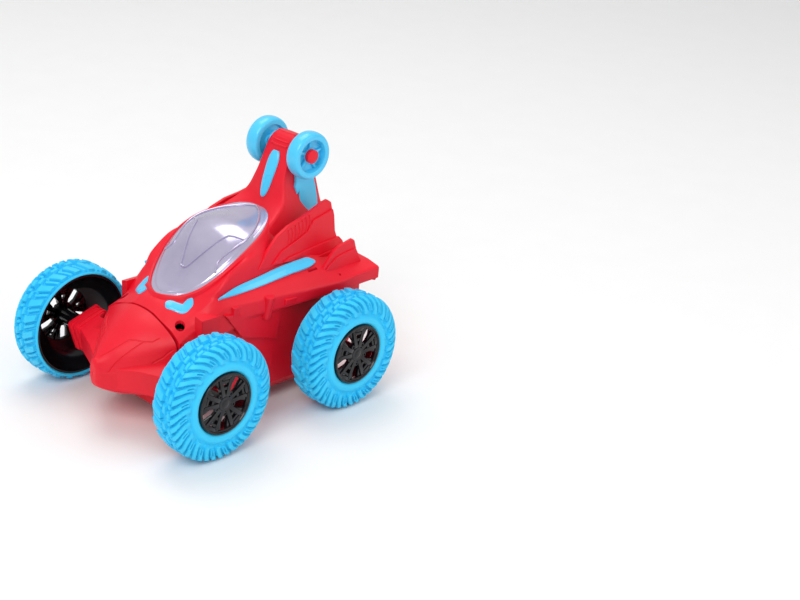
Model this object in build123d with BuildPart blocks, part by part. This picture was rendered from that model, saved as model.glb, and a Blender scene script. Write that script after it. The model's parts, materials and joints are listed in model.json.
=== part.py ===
"""Radio controlled stunt car with a rolling nose, as an assembly of separate pieces.

The car stands on its four tyres at z = 0, its nose points to -Y and its left side to +X.
The nose and the front wheels roll about a shaft along Y.  All sizes are in millimetres.
"""
from math import acos, cos, pi, radians, sin, tan
import os

from build123d import *

os.makedirs("parts", exist_ok=True)

# ---- driving sizes -----------------------------------------------------------------
OVERALL_LENGTH = 202.0
WHEELBASE = 114.5
WHEEL_RADIUS = 40.0
AXLE_HEIGHT = WHEEL_RADIUS
FRONT_AXLE_Y = -60.75
REAR_AXLE_Y = FRONT_AXLE_Y + WHEELBASE
WHEEL_INNER_X = 59.3
WHEEL_OUTER_X = 85.6
NOSE_TIP_Y = -OVERALL_LENGTH / 2
TAIL_END_Y = OVERALL_LENGTH / 2
SEAM_Y = -57.8
SEAM_GAP = 1.2
SHELL_WALL = 2.0

TAIL_AXLE_Y = 61.9
TAIL_AXLE_Z = 158.4
TAIL_WHEEL_RADIUS = 16.2
TAIL_WHEEL_INNER_X = 14.7
TAIL_WHEEL_OUTER_X = 25.0

GEAR_MODULE = 0.6
PINION_TEETH = 12
WHEEL_GEAR_TEETH = 36
ROLL_MODULE = 0.8
RUNNING_GAP = 0.05
FRONT_AXLE_R = 1.5
REAR_AXLE_R = 2.0
TAIL_AXLE_R = 1.25
ROLL_SHAFT_R = 3.0
SIDES = {"left": 1, "right": -1}


# ---- helpers -----------------------------------------------------------------------
def across(y):
    """Plane across the car at y: local x is X, local y is Z, its normal points forward."""
    return Plane(origin=(0, y, 0), x_dir=(1, 0, 0), z_dir=(0, -1, 0))


def beside(x):
    """Plane along the car at x: local x is Y, local y is Z, its normal points to the left."""
    return Plane(origin=(x, 0, 0), x_dir=(0, 1, 0), z_dir=(1, 0, 0))


def mirrored_outline(half):
    """Closed outline across the car from the points of its left half, bottom to top."""
    left = [(x, z) for x, z in half]
    right = [(-x, z) for x, z in reversed(half) if x > 0]
    return left + right


def ruled_body(stations):
    """Solid with flat facets between mirrored outlines; stations are (y, half points)."""
    with BuildPart() as body:
        for y, half in stations:
            with BuildSketch(across(y)):
                with BuildLine():
                    Polyline(*mirrored_outline(half), close=True)
                make_face()
        loft(ruled=True)
    return body.part


def inset(half, wall):
    """Half outline shrunk about its middle, so that a wall is left round it."""
    width = max(x for x, z in half)
    low = min(z for x, z in half)
    high = max(z for x, z in half)
    middle = (low + high) / 2
    across_scale = (width - wall) / width
    height_scale = (high - low - 2 * wall) / (high - low)
    return [(x * across_scale, middle + (z - middle) * height_scale) for x, z in half]


def rod(x0, x1, y, z, radius):
    """Round bar along X between x0 and x1."""
    with BuildPart() as bar:
        with BuildSketch(beside(min(x0, x1))):
            with Locations((y, z)):
                Circle(radius)
        extrude(amount=abs(x1 - x0))
    return bar.part


def block(x0, x1, y0, y1, z0, z1):
    """Rectangular solid between two corners."""
    with BuildPart() as brick:
        with Locations(((x0 + x1) / 2, (y0 + y1) / 2, (z0 + z1) / 2)):
            Box(abs(x1 - x0), abs(y1 - y0), abs(z1 - z0))
    return brick.part


def save(builder, name):
    """Label a finished piece and write its STEP file."""
    builder.part.label = name
    export_step(builder.part, f"parts/{name}.step")


def gear_outline(teeth, module):
    """Points of an involute gear with shortened tips, starting on a tooth's centre line."""
    pressure = radians(20)
    pitch_r = teeth * module / 2
    base_r = pitch_r * cos(pressure)
    tip_r = pitch_r + 0.75 * module
    root_r = pitch_r - 1.15 * module
    involute = tan(pressure) - pressure
    half_tooth = pi / (2 * teeth) - 0.09 / pitch_r

    def flank(radius):
        """Half the tooth's angle at a radius."""
        if radius <= base_r:
            return half_tooth + involute
        angle = acos(base_r / radius)
        return half_tooth + involute - (tan(angle) - angle)

    start_r = max(root_r, base_r)
    radii = [start_r + (tip_r - start_r) * i / 3 for i in range(4)]
    points = []
    for tooth in range(teeth):
        centre = 2 * pi * tooth / teeth
        rising = [(root_r, -flank(start_r))] + [(r, -flank(r)) for r in radii]
        falling = [(r, flank(r)) for r in reversed(radii)] + [(root_r, flank(start_r))]
        for radius, angle in rising + falling:
            points.append((radius * cos(centre + angle), radius * sin(centre + angle)))
    return points


def gear_on(plane, thickness, teeth, module, turn, bore):
    """Spur gear on a plane through its axis point, turned by an angle in degrees."""
    with BuildPart() as wheel:
        with BuildSketch(plane):
            with BuildLine(Rotation(0, 0, turn)):
                Polyline(*gear_outline(teeth, module), close=True)
            make_face()
            if bore:
                Circle(bore, mode=Mode.SUBTRACT)
        extrude(amount=thickness)
    return wheel.part


# ---- road wheels -------------------------------------------------------------------
# Half profiles of the wheel: distance from the car's middle, and radius from the axle.
BOWL_OUTSIDE = [(61.0, 35.0), (70.0, 33.5), (79.0, 26.0), (83.8, 20.9)]
TYRE_INNER_FACE = [(61.0, 35.0), (59.8, 35.4), (WHEEL_INNER_X, 36.4), (60.2, 38.4), (63.5, WHEEL_RADIUS)]
TYRE_OUTER_FACE = [(76.0, WHEEL_RADIUS), (79.4, 37.6), (82.0, 32.0), (84.2, 26.0), (84.8, 21.6), (83.8, 20.9)]
RIM_WALL = 1.5
RIM_FACE_R = 20.6
SPOKES = 5
HUB_R = 5.0


def wheel_plane(axle_y):
    """Plane through an axle with X along the axle and local y upwards."""
    return Plane(origin=(0, axle_y, AXLE_HEIGHT), x_dir=(1, 0, 0), z_dir=(0, -1, 0))


def make_tyre(side, axle_y):
    """Ring tyre: a wide tread, a bulging outer wall and an open inner side."""
    profile = TYRE_INNER_FACE + TYRE_OUTER_FACE + list(reversed(BOWL_OUTSIDE))[1:-1]
    with BuildPart() as tyre:
        with BuildSketch(wheel_plane(axle_y)):
            with BuildLine():
                Polyline(*[(side * x, r) for x, r in profile], close=True)
            make_face()
        revolve(axis=Axis((0, axle_y, AXLE_HEIGHT), (1, 0, 0)))
    return tyre


def make_rim(side, axle_y, bore):
    """Deep bowl with forked spokes across its outer face and a tube for the axle."""
    inside = [(x - RIM_WALL * 0.4, r - RIM_WALL) for x, r in BOWL_OUTSIDE[:-1]]
    bowl = BOWL_OUTSIDE[:-1] + [(83.8, RIM_FACE_R + 0.3), (WHEEL_OUTER_X, RIM_FACE_R), (WHEEL_OUTER_X, 18.2)]
    bowl = bowl + [(82.4, 18.2)] + list(reversed(inside))
    axle = Axis((0, axle_y, AXLE_HEIGHT), (1, 0, 0))
    face_plane = Plane(origin=(side * 82.6, axle_y, AXLE_HEIGHT), x_dir=(0, 1, 0), z_dir=(1, 0, 0))
    with BuildPart() as rim:
        with BuildSketch(wheel_plane(axle_y)):
            with BuildLine():
                Polyline(*[(side * x, r) for x, r in bowl], close=True)
            make_face()
        revolve(axis=axle)
        with BuildSketch(face_plane):
            Circle(18.6)
            with PolarLocations(0, SPOKES, 36):
                Polygon((7.2, 0), (17.2, 6.2), (17.2, -6.2), align=None, mode=Mode.SUBTRACT)
            with PolarLocations(12.6, SPOKES):
                Rectangle(6.0, 2.6, mode=Mode.SUBTRACT)
        extrude(amount=side * 2.4)
        add(rod(side * 62.0, side * 85.0, axle_y, AXLE_HEIGHT, HUB_R))
        add(rod(side * 55.0, side * 84.1, axle_y, AXLE_HEIGHT, bore), mode=Mode.SUBTRACT)
    return rim


for end, axle_y, bore in (("front", FRONT_AXLE_Y, FRONT_AXLE_R + RUNNING_GAP), ("rear", REAR_AXLE_Y, REAR_AXLE_R)):
    for side_name, side in SIDES.items():
        save(make_tyre(side, axle_y), f"tyre_{end}_{side_name}")
        save(make_rim(side, axle_y, bore), f"rim_{end}_{side_name}")

# ---- nose: two covers, a back plate, two axle arms and the front axle ----------------
# Half outlines of the nose from bottom to top, one for each station along the car.
NOSE_STATIONS = [
    (SEAM_Y - SEAM_GAP, [(0, 10), (26, 12), (37, 26), (38.5, 44), (36.5, 60.5), (28.5, 66.9), (15, 72), (0, 74.4)]),
    (-69.5, [(0, 13), (19, 15), (27.5, 27), (29.5, 44), (27.5, 56), (18, 63.5), (9, 68), (0, 69.6)]),
    (-77.3, [(0, 17), (13, 18), (21, 28), (22.5, 43), (19, 53), (10.7, 60.4), (5, 62.7), (0, 63.5)]),
    (-87.5, [(0, 21), (8, 22), (13, 30), (15, 41), (12, 47.5), (4.5, 51.5), (2, 52.6), (0, 53.2)]),
    (-94.5, [(0, 25.5), (5, 26.5), (7.5, 31), (8.5, 38), (6.5, 43), (3, 45.5), (1.5, 46), (0, 46.2)]),
    (NOSE_TIP_Y, [(0, 29), (2.5, 29.5), (3.5, 32), (4, 36), (3, 39), (1.5, 40), (0.8, 40.3), (0, 40.5)]),
]
NOSE_BACK_Y = SEAM_Y - SEAM_GAP
NOSE_SPLIT_Z = AXLE_HEIGHT


nose_outer = ruled_body(NOSE_STATIONS)
nose_hollow = [(NOSE_BACK_Y + 5, inset(NOSE_STATIONS[0][1], SHELL_WALL))]
nose_hollow += [(y, inset(half, SHELL_WALL)) for y, half in NOSE_STATIONS[:4]]
nose_inner = ruled_body(nose_hollow)
ARM_INNER_X = 24.0
ARM_OUTER_X = 56.2
ARM_SIZE = (23.0, 20.5)
ARM_TILT = 18
arm_plane = {
    side: Plane(origin=(side * ARM_INNER_X, FRONT_AXLE_Y + 1.6, AXLE_HEIGHT - 0.9), x_dir=(0, 1, 0), z_dir=(1, 0, 0))
    for side in SIDES.values()
}


def arm_solid(side, clearance=0.0):
    """Tilted box of one axle arm, grown by a clearance."""
    with BuildPart() as arm:
        with BuildSketch(arm_plane[side]):
            with Locations(Location((0, 0), ARM_TILT)):
                RectangleRounded(ARM_SIZE[0] + 2 * clearance, ARM_SIZE[1] + 2 * clearance, 2.0 + clearance)
        extrude(amount=side * (ARM_OUTER_X - ARM_INNER_X))
    return arm.part


SWEEP_CLEAR_X = 44.0
arm_relief = {
    side: block(side * (ARM_INNER_X - 5), side * SWEEP_CLEAR_X, NOSE_BACK_Y, SEAM_Y + 40, 0, 90)
    for side in SIDES.values()
}
nose_shell = nose_outer - nose_inner - arm_solid(1, 0.25) - arm_solid(-1, 0.25)

with BuildPart() as nose_top_cover:
    add(nose_shell)
    split(bisect_by=Plane.XY.offset(NOSE_SPLIT_Z + 0.1), keep=Keep.TOP)
save(nose_top_cover, "nose_top_cover")

with BuildPart() as nose_bottom_tray:
    add(nose_shell)
    split(bisect_by=Plane.XY.offset(NOSE_SPLIT_Z - 0.1), keep=Keep.BOTTOM)
save(nose_bottom_tray, "nose_bottom_tray")

with BuildPart() as nose_back_plate:
    with BuildSketch(across(NOSE_BACK_Y)):
        with Locations((0, AXLE_HEIGHT)):
            Circle(23.5)
            Circle(ROLL_SHAFT_R, mode=Mode.SUBTRACT)
    extrude(amount=3.0)
save(nose_back_plate, "nose_back_plate")

RIB_X = (48.6, 52.2)
STUB_INNER_X = 30.0
for side_name, side in SIDES.items():
    with BuildPart() as front_arm:
        add(arm_solid(side))
        for rib_x in RIB_X:
            with BuildSketch(arm_plane[side].offset(side * (rib_x - ARM_INNER_X))):
                with Locations(Location((0, 0), ARM_TILT)):
                    RectangleRounded(ARM_SIZE[0] + 1.6, ARM_SIZE[1] + 1.6, 2.6)
            extrude(amount=side * 1.4)
        with BuildSketch(arm_plane[side].offset(side * (ARM_OUTER_X - ARM_INNER_X))):
            with Locations(Location((0, 0), ARM_TILT)):
                RectangleRounded(ARM_SIZE[0] + 2.4, ARM_SIZE[1] + 2.4, 3.0)
        extrude(amount=side * 2.0)
        add(arm_relief[side], mode=Mode.SUBTRACT)
        add(rod(side * STUB_INNER_X, side * 60, FRONT_AXLE_Y, AXLE_HEIGHT, FRONT_AXLE_R), mode=Mode.SUBTRACT)
    save(front_arm, f"front_arm_{side_name}")
    with BuildPart() as stub_axle:
        add(rod(side * STUB_INNER_X, side * 83.6, FRONT_AXLE_Y, AXLE_HEIGHT, FRONT_AXLE_R))
    save(stub_axle, f"front_stub_axle_{side_name}")

# ---- roll drive: shaft, gear, pinion, motor and bush --------------------------------
ROLL_GEAR_Y = -38.0
ROLL_GEAR_WIDTH = 4.0
ROLL_OFFSET = ROLL_MODULE * (PINION_TEETH + WHEEL_GEAR_TEETH) / 2
roll_gear_plane = Plane(origin=(0, ROLL_GEAR_Y, AXLE_HEIGHT), x_dir=(0, 0, 1), z_dir=(0, 1, 0))
roll_pinion_plane = Plane(origin=(0, ROLL_GEAR_Y - 0.5, AXLE_HEIGHT + ROLL_OFFSET), x_dir=(0, 0, 1), z_dir=(0, 1, 0))

with BuildPart() as roll_shaft:
    with BuildSketch(across(-30)):
        with Locations((0, AXLE_HEIGHT)):
            Circle(ROLL_SHAFT_R)
    extrude(amount=36)
save(roll_shaft, "roll_shaft")

with BuildPart() as roll_gear:
    add(gear_on(roll_gear_plane, ROLL_GEAR_WIDTH, WHEEL_GEAR_TEETH, ROLL_MODULE, 0, ROLL_SHAFT_R))
save(roll_gear, "roll_gear")

with BuildPart() as roll_pinion:
    add(gear_on(roll_pinion_plane, ROLL_GEAR_WIDTH + 1, PINION_TEETH, ROLL_MODULE, 180 + 180 / PINION_TEETH, 1.0))
save(roll_pinion, "roll_pinion")


def motor_can(plane):
    """Small electric motor: a thin can with two flats and a solid end cap, open inside."""
    with BuildPart() as motor:
        with BuildSketch(plane):
            Circle(10.0)
            Rectangle(15.2, 22.0, mode=Mode.INTERSECT)
            Circle(1.1, mode=Mode.SUBTRACT)
        extrude(amount=1.2)
        with BuildSketch(plane.offset(1.2)):
            Circle(10.0)
            Rectangle(15.2, 22.0, mode=Mode.INTERSECT)
            Circle(9.2, mode=Mode.SUBTRACT)
        extrude(amount=20.0)
        with BuildSketch(plane.offset(1.2)):
            Rectangle(15.2, 22.0)
            Circle(10.0, mode=Mode.INTERSECT)
            Rectangle(13.6, 22.0, mode=Mode.SUBTRACT)
        extrude(amount=20.0)
        with BuildSketch(plane.offset(21.2)):
            Circle(10.0)
            Rectangle(15.2, 22.0, mode=Mode.INTERSECT)
            Circle(1.1, mode=Mode.SUBTRACT)
        extrude(amount=3.8)
    return motor.part


ROLL_MOTOR_Y = -31.5
roll_motor_plane = Plane(origin=(0, ROLL_MOTOR_Y, AXLE_HEIGHT + ROLL_OFFSET), x_dir=(1, 0, 0), z_dir=(0, 1, 0))
with BuildPart() as roll_motor:
    add(motor_can(roll_motor_plane))
save(roll_motor, "roll_motor")

with BuildPart() as roll_motor_shaft:
    with BuildSketch(Plane(origin=(0, ROLL_GEAR_Y - 1.5, AXLE_HEIGHT + ROLL_OFFSET), x_dir=(1, 0, 0), z_dir=(0, 1, 0))):
        Circle(1.0)
    extrude(amount=28)
save(roll_motor_shaft, "roll_motor_shaft")

with BuildPart() as roll_bush:
    with BuildSketch(across(SEAM_Y + 7.0)):
        with Locations((0, AXLE_HEIGHT)):
            Circle(6.0)
            Circle(ROLL_SHAFT_R + RUNNING_GAP, mode=Mode.SUBTRACT)
    extrude(amount=7.0)
save(roll_bush, "roll_bush")

# ---- body: upper shell with fin and wings, lower tub, dome and trims ------------------
# Half outlines of the upper shell: skirt edge, rail, deck edge, strip top, dome rim, middle.
SHELL_STATIONS = [
    (SEAM_Y, [(36.2, 56), (36, 60.5), (32, 65.3), (28.5, 67), (12, 73), (0, 74.5)]),
    (-49.5, [(35, 62), (33.5, 65), (30, 68.5), (27, 71), (14, 77.5), (0, 79.5)]),
    (-39.5, [(36, 70), (33, 74.6), (29, 77), (26, 78.5), (17, 81.5), (0, 83.5)]),
    (-27.5, [(40, 73), (38.5, 77.5), (36, 82), (33.5, 84), (24.5, 88), (0, 90)]),
    (-8.5, [(43, 70), (44, 78.8), (40.5, 82.5), (36.5, 87), (31, 101), (0, 103)]),
    (16.5, [(47, 68.5), (48, 78.8), (43, 84.5), (36, 91), (28, 113), (0, 115)]),
    (41.5, [(50.5, 70), (51.5, 78.5), (45, 85.5), (36, 93.5), (20, 122), (0, 123)]),
    (66.5, [(53, 70), (54, 78.5), (45, 85.5), (36, 94), (17, 112), (0, 114)]),
    (TAIL_END_Y, [(56.5, 72.5), (57, 82.7), (46, 83.5), (36, 86), (10, 90), (0, 91)]),
]
# Dome rim: place along the car, half width and height.
DOME_RIM = [
    (-46.9, 0.0, 81.0), (-43.0, 10.5, 81.4), (-39.5, 15.5, 82.2), (-31.5, 21.9, 86.4), (-23.5, 26.5, 92.0),
    (-13.5, 29.5, 99.6), (-3.5, 30.1, 106.2), (6.5, 29.0, 111.3), (16.5, 26.2, 115.2), (26.5, 20.4, 118.6),
    (33.5, 13.5, 121.0), (38.5, 0.0, 122.5),
]
DOME_RISE = 10.0
DOME_TAPER = 3.0
DOME_WALL = 1.4


def open_bottomed(stations, wall):
    """Inside of a shell: every outline is shrunk and its lower edge dropped out of the shell."""
    inner = []
    for y, half in stations:
        width = half[0][0]
        low = half[0][1]
        points = [(width - wall, low - 5)]
        for x, z in half[:-1]:
            points.append((x * (width - wall) / width, z - wall))
        points.append((0, half[-1][1] - wall))
        inner.append((y, points))
    return inner


shell_outer = ruled_body(SHELL_STATIONS)
hollow = open_bottomed(SHELL_STATIONS, SHELL_WALL)
hollow[0] = (SEAM_Y + SHELL_WALL, hollow[0][1])
hollow[-1] = (TAIL_END_Y - SHELL_WALL, hollow[-1][1])
shell_inner = ruled_body(hollow)

with BuildPart() as dome_plan:
    with BuildSketch(Plane.XY.offset(60)):
        with BuildLine():
            rim = [(half * 0.93, -4.0 + (y + 4.0) * 0.95) for y, half, _ in DOME_RIM]
            Spline(*rim)
            Line(rim[-1], rim[0])
        make_face()
    extrude(amount=90)
    mirror(about=Plane.YZ)

# The fin leans back over the dome; outline along the car and half widths up its height.
FIN_STATIONS = [
    (104.0, 37.0, 97.0, 25.0, 15.0),
    (124.3, 40.9, 92.0, 20.0, 12.0),
    (134.0, 43.7, 88.0, 16.0, 10.5),
    (147.0, 47.6, 80.5, 12.0, 9.5),
    (161.0, 51.8, 73.0, 8.5, 8.5),
]
FIN_TOP_R = 11.2

with BuildPart() as fin_core:
    for height, front_y, rear_y, front_half, rear_half in FIN_STATIONS:
        with BuildSketch(Plane.XY.offset(height)):
            with BuildLine():
                Polyline((-front_half, front_y), (front_half, front_y), (rear_half, rear_y), (-rear_half, rear_y), close=True)
            make_face()
    loft(ruled=True)
    with BuildSketch(beside(-8.5)):
        with Locations((TAIL_AXLE_Y, TAIL_AXLE_Z)):
            Circle(FIN_TOP_R)
    extrude(amount=17)

with BuildPart() as fin_hollow:
    for height, front_y, rear_y, front_half, rear_half in FIN_STATIONS[:-1]:
        with BuildSketch(Plane.XY.offset(height - (3 if height == FIN_STATIONS[0][0] else 0))):
            with BuildLine():
                Polyline(
                    (-front_half + 2, front_y + 2), (front_half - 2, front_y + 2),
                    (rear_half - 2, rear_y - 2), (-rear_half + 2, rear_y - 2), close=True,
                )
            make_face()
    loft(ruled=True)

# Outlines of the wing and winglet panels, as places along the car and heights.
WING_OUTLINE = [(15, 90), (27, 110), (36, 116), (48, 119), (66, 127), (69.5, 129), (73, 127), (76, 118),
                (79, 102), (84, 98), (87, 92), (80, 86)]
WINGLET_OUTLINE = [(58, 82), (65, 96), (69, 99), (82, 102.5), (85, 101), (89, 87), (92, 82)]
WING_X = 33.0
WING_TILT = 5
WINGLET_X = 44.5


def upright_panel(outline, x, tilt, thickness):
    """Plate that stands along the car at x and leans outwards by the tilt."""
    stand = Plane(origin=(x, 0, 90), x_dir=(0, 1, 0), z_dir=(1, 0, 0)).rotated((0, tilt, 0))
    with BuildPart() as panel:
        with BuildSketch(stand):
            with BuildLine():
                Polyline(*[(y, z - 90) for y, z in outline], close=True)
            make_face()
        extrude(amount=thickness / 2, both=True)
    return panel.part


BOSS_X = 28.5
BOSS_Y = -53.4
BOSS_R = 3.4

with BuildPart() as shell_body:
    add(shell_outer)
    add(fin_core.part)
    for side in SIDES.values():
        add(upright_panel(WING_OUTLINE, side * WING_X, side * WING_TILT, 3.0))
        add(upright_panel(WINGLET_OUTLINE, side * WINGLET_X, 0, 2.4))
    add(shell_inner, mode=Mode.SUBTRACT)
    add(fin_hollow.part, mode=Mode.SUBTRACT)
    add(dome_plan.part, mode=Mode.SUBTRACT)
    for side in SIDES.values():
        with BuildSketch(Plane.XY.offset(55)):
            with Locations((side * BOSS_X, BOSS_Y)):
                Circle(BOSS_R)
        extrude(amount=12)
        with BuildSketch(Plane.XY.offset(50)):
            with Locations((side * BOSS_X, BOSS_Y)):
                Circle(1.2)
        extrude(amount=40, mode=Mode.SUBTRACT)
        with BuildSketch(Plane.XY.offset(64)):
            with Locations((side * BOSS_X, BOSS_Y)):
                Circle(2.6)
        extrude(amount=20, mode=Mode.SUBTRACT)
    add(rod(-30, 30, TAIL_AXLE_Y, TAIL_AXLE_Z, TAIL_AXLE_R), mode=Mode.SUBTRACT)

# Dome: arched sections across the car on the rim, hollow underneath.
def dome_skin(lift, shrink):
    """Solid under an arched skin whose sections stand on the dome's rim."""
    with BuildPart() as skin:
        for y, half, z in DOME_RIM[1:-1]:
            share = sin(pi * (y - DOME_RIM[0][0]) / (DOME_RIM[-1][0] - DOME_RIM[0][0]))
            reach = half - shrink
            with BuildSketch(across(y)):
                with BuildLine():
                    top = (0, z + lift + DOME_RISE * share**DOME_TAPER)
                    ThreePointArc((-reach, z - 1.0 + lift), top, (reach, z - 1.0 + lift))
                    Line((reach, z - 1.0 + lift), (-reach, z - 1.0 + lift))
                make_face()
        loft(ruled=True)
    return skin.part


with BuildPart() as canopy_dome:
    add(dome_skin(1.2, 0.0))
    add(dome_skin(1.2 - DOME_WALL, DOME_WALL), mode=Mode.SUBTRACT)
save(canopy_dome, "canopy_dome")

with BuildPart() as cockpit_tray:
    for y, half, z in DOME_RIM[2:-1]:
        reach = half * 0.8
        with BuildSketch(across(y)):
            Polygon((-reach, z - 10), (reach, z - 10), (reach, z - 8.4), (-reach, z - 8.4), align=None)
    loft(ruled=True)
save(cockpit_tray, "cockpit_tray")

with BuildPart() as dome_lamps:
    with Locations((-10, -14, 92.6), (10, -14, 92.6), (0, 12, 106.4)):
        Cylinder(2.5, 5.0, align=(Align.CENTER, Align.CENTER, Align.MIN))
save(dome_lamps, "dome_lamps")

# Light blue trims let into the shell.
VEE_POINTS = [(11.6, -48.9), (23.2, -46.1), (21.2, -36.0)]
VEE_HALF_WIDTH = 2.0
TRIM_DEPTH = 1.0
trims = []
for side_name, side in SIDES.items():
    with BuildPart() as vee:
        with BuildSketch(Plane.XY.offset(70)):
            with BuildLine():
                Polyline(*[(side * x, y) for x, y in VEE_POINTS])
            trace(line_width=2 * VEE_HALF_WIDTH)
        extrude(amount=20)
        add(shell_outer, mode=Mode.INTERSECT)
        add(Pos(0, 0, -TRIM_DEPTH) * shell_outer, mode=Mode.SUBTRACT)
    save(vee, f"hood_mark_{side_name}")
    trims.append(vee.part)

with BuildPart() as fin_inlay:
    lean = Plane(origin=(0, 45.4, 143.0), x_dir=(1, 0, 0), z_dir=(0, -cos(radians(16.6)), sin(radians(16.6))))
    with BuildSketch(lean.offset(-1.5)):
        Ellipse(4.3, 16.2)
    extrude(amount=2.4)
save(fin_inlay, "fin_inlay")
trims.append(fin_inlay.part)

for side_name, side in SIDES.items():
    with BuildPart() as side_strip:
        for y, outer_x, outer_z, inner_x, inner_z in (
            (-27.0, 37.0, 83.2, 36.2, 84.3), (-5.0, 41.6, 83.9, 37.6, 88.6),
            (20.0, 43.8, 85.6, 37.0, 92.2), (45.0, 45.4, 86.8, 36.9, 94.4),
        ):
            with BuildSketch(across(y)):
                Polygon(
                    (side * outer_x, outer_z), (side * inner_x, inner_z),
                    (side * (inner_x - 1.0), inner_z - 1.6), (side * (outer_x - 1.0), outer_z - 1.6), align=None,
                )
        loft(ruled=True)
    save(side_strip, f"side_strip_{side_name}")
    trims.append(side_strip.part)

# ---- tail: struts, axle, wheels and end caps ----------------------------------------
STRUT_OUTLINE = [(57.0, 163.0), (66.5, 163.0), (76.0, 136.7), (79.7, 113.0), (65.6, 109.0), (59.4, 132.8), (57.6, 141.9)]
STRUT_INNER_X = 12.2
STRUT_OUTER_X = 13.8
for side_name, side in SIDES.items():
    with BuildPart() as strut:
        with BuildSketch(beside(side * STRUT_INNER_X)):
            Polygon(*STRUT_OUTLINE, align=None)
            with Locations((TAIL_AXLE_Y, TAIL_AXLE_Z)):
                Circle(TAIL_AXLE_R, mode=Mode.SUBTRACT)
        extrude(amount=side * (STRUT_OUTER_X - STRUT_INNER_X))
    save(strut, f"tail_strut_{side_name}")
    trims.append(strut.part)
    with BuildPart() as tail_wheel:
        with BuildSketch(Plane(origin=(0, TAIL_AXLE_Y, TAIL_AXLE_Z), x_dir=(1, 0, 0), z_dir=(0, -1, 0))):
            with BuildLine():
                Polyline(
                    *[(side * x, r) for x, r in (
                        (14.9, 1.3), (14.9, 4.0), (17.6, 4.0), (17.6, 12.6), (TAIL_WHEEL_INNER_X, 13.0),
                        (TAIL_WHEEL_INNER_X, 15.0), (16.4, TAIL_WHEEL_RADIUS), (23.3, TAIL_WHEEL_RADIUS),
                        (TAIL_WHEEL_OUTER_X, 15.0), (TAIL_WHEEL_OUTER_X, 13.0), (19.4, 12.4), (19.4, 3.6),
                        (22.4, 3.6), (22.4, 1.3),
                    )],
                    close=True,
                )
            make_face()
        revolve(axis=Axis((0, TAIL_AXLE_Y, TAIL_AXLE_Z), (1, 0, 0)))
    save(tail_wheel, f"tail_wheel_{side_name}")

with BuildPart() as tail_axle:
    add(rod(-24.6, 24.6, TAIL_AXLE_Y, TAIL_AXLE_Z, TAIL_AXLE_R))
save(tail_axle, "tail_axle")

with BuildPart() as tail_axle_caps:
    for side in SIDES.values():
        add(rod(side * 22.7, side * 25.6, TAIL_AXLE_Y, TAIL_AXLE_Z, 4.2))
    add(tail_axle.part, mode=Mode.SUBTRACT)
save(tail_axle_caps, "tail_axle_caps")

with BuildPart() as upper_shell:
    add(shell_body.part)
    for trim in trims:
        add(trim, mode=Mode.SUBTRACT)
save(upper_shell, "upper_shell")

# ---- lower tub with its battery door, switch, socket and speaker ----------------------
TUB_BOTTOM_Z = 8.0
TUB_STATIONS = [
    (SEAM_Y + 0.2, [(0, TUB_BOTTOM_Z), (25, TUB_BOTTOM_Z), (34, 18), (34, 54.5)]),
    (-49.5, [(0, TUB_BOTTOM_Z), (25, TUB_BOTTOM_Z), (34, 18), (32.5, 60)]),
    (-42.0, [(0, TUB_BOTTOM_Z), (33, TUB_BOTTOM_Z), (37, 16), (34.5, 67.5)]),
    (-27.5, [(0, TUB_BOTTOM_Z), (35, TUB_BOTTOM_Z), (38.5, 16), (38, 70)]),
    (16.5, [(0, TUB_BOTTOM_Z), (38, TUB_BOTTOM_Z), (42.5, 14), (42.5, 68)]),
    (80.0, [(0, TUB_BOTTOM_Z), (38, TUB_BOTTOM_Z), (42.5, 14), (42.5, 69.5)]),
    (96.0, [(0, 30), (38, 30), (42.0, 34), (42.0, 70)]),
]
DOOR = (-24.0, 24.0, -22.0, 8.0)
SWITCH_Y = 24.0
SWITCH_TRAVEL = 3.0
SOCKET_Y = 24.0


def open_topped(stations, wall):
    """Inside of the tub: outlines shrunk at the sides and floor and raised out of the top."""
    inner = []
    for y, half in stations:
        points = [(max(x - wall, 0), z + wall) for x, z in half[:-1]]
        points.append((half[-1][0] - wall, half[-1][1] + 5))
        inner.append((y, points))
    return inner


tub_hollow = open_topped(TUB_STATIONS, SHELL_WALL)
tub_hollow[0] = (TUB_STATIONS[0][0] + SHELL_WALL, tub_hollow[0][1])
tub_hollow[-1] = (TUB_STATIONS[-1][0] - SHELL_WALL, tub_hollow[-1][1])

with BuildPart() as lower_tub:
    add(ruled_body(TUB_STATIONS))
    add(ruled_body(tub_hollow), mode=Mode.SUBTRACT)
    add(block(DOOR[0] - 0.2, DOOR[1] + 0.2, DOOR[2] - 0.2, DOOR[3] + 0.2, 7, 11), mode=Mode.SUBTRACT)
    add(block(12 - 2.2, 12 + 2.2, SWITCH_Y - 3.7, SWITCH_Y + 3.7, 7, 11), mode=Mode.SUBTRACT)
    add(rod(-60, 60, REAR_AXLE_Y, AXLE_HEIGHT, REAR_AXLE_R + 0.6), mode=Mode.SUBTRACT)
    with BuildSketch(across(-50)):
        with Locations((0, AXLE_HEIGHT)):
            Circle(6.0)
    extrude(amount=20, mode=Mode.SUBTRACT)
    with BuildSketch(Plane.XY.offset(7)):
        with Locations((-12, SOCKET_Y)):
            Circle(2.8)
        with Locations((0, 62)):
            with PolarLocations(6.0, 6):
                Circle(1.3)
            Circle(1.3)
    extrude(amount=4, mode=Mode.SUBTRACT)
    add(upper_shell.part, mode=Mode.SUBTRACT)
save(lower_tub, "lower_tub")

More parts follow.
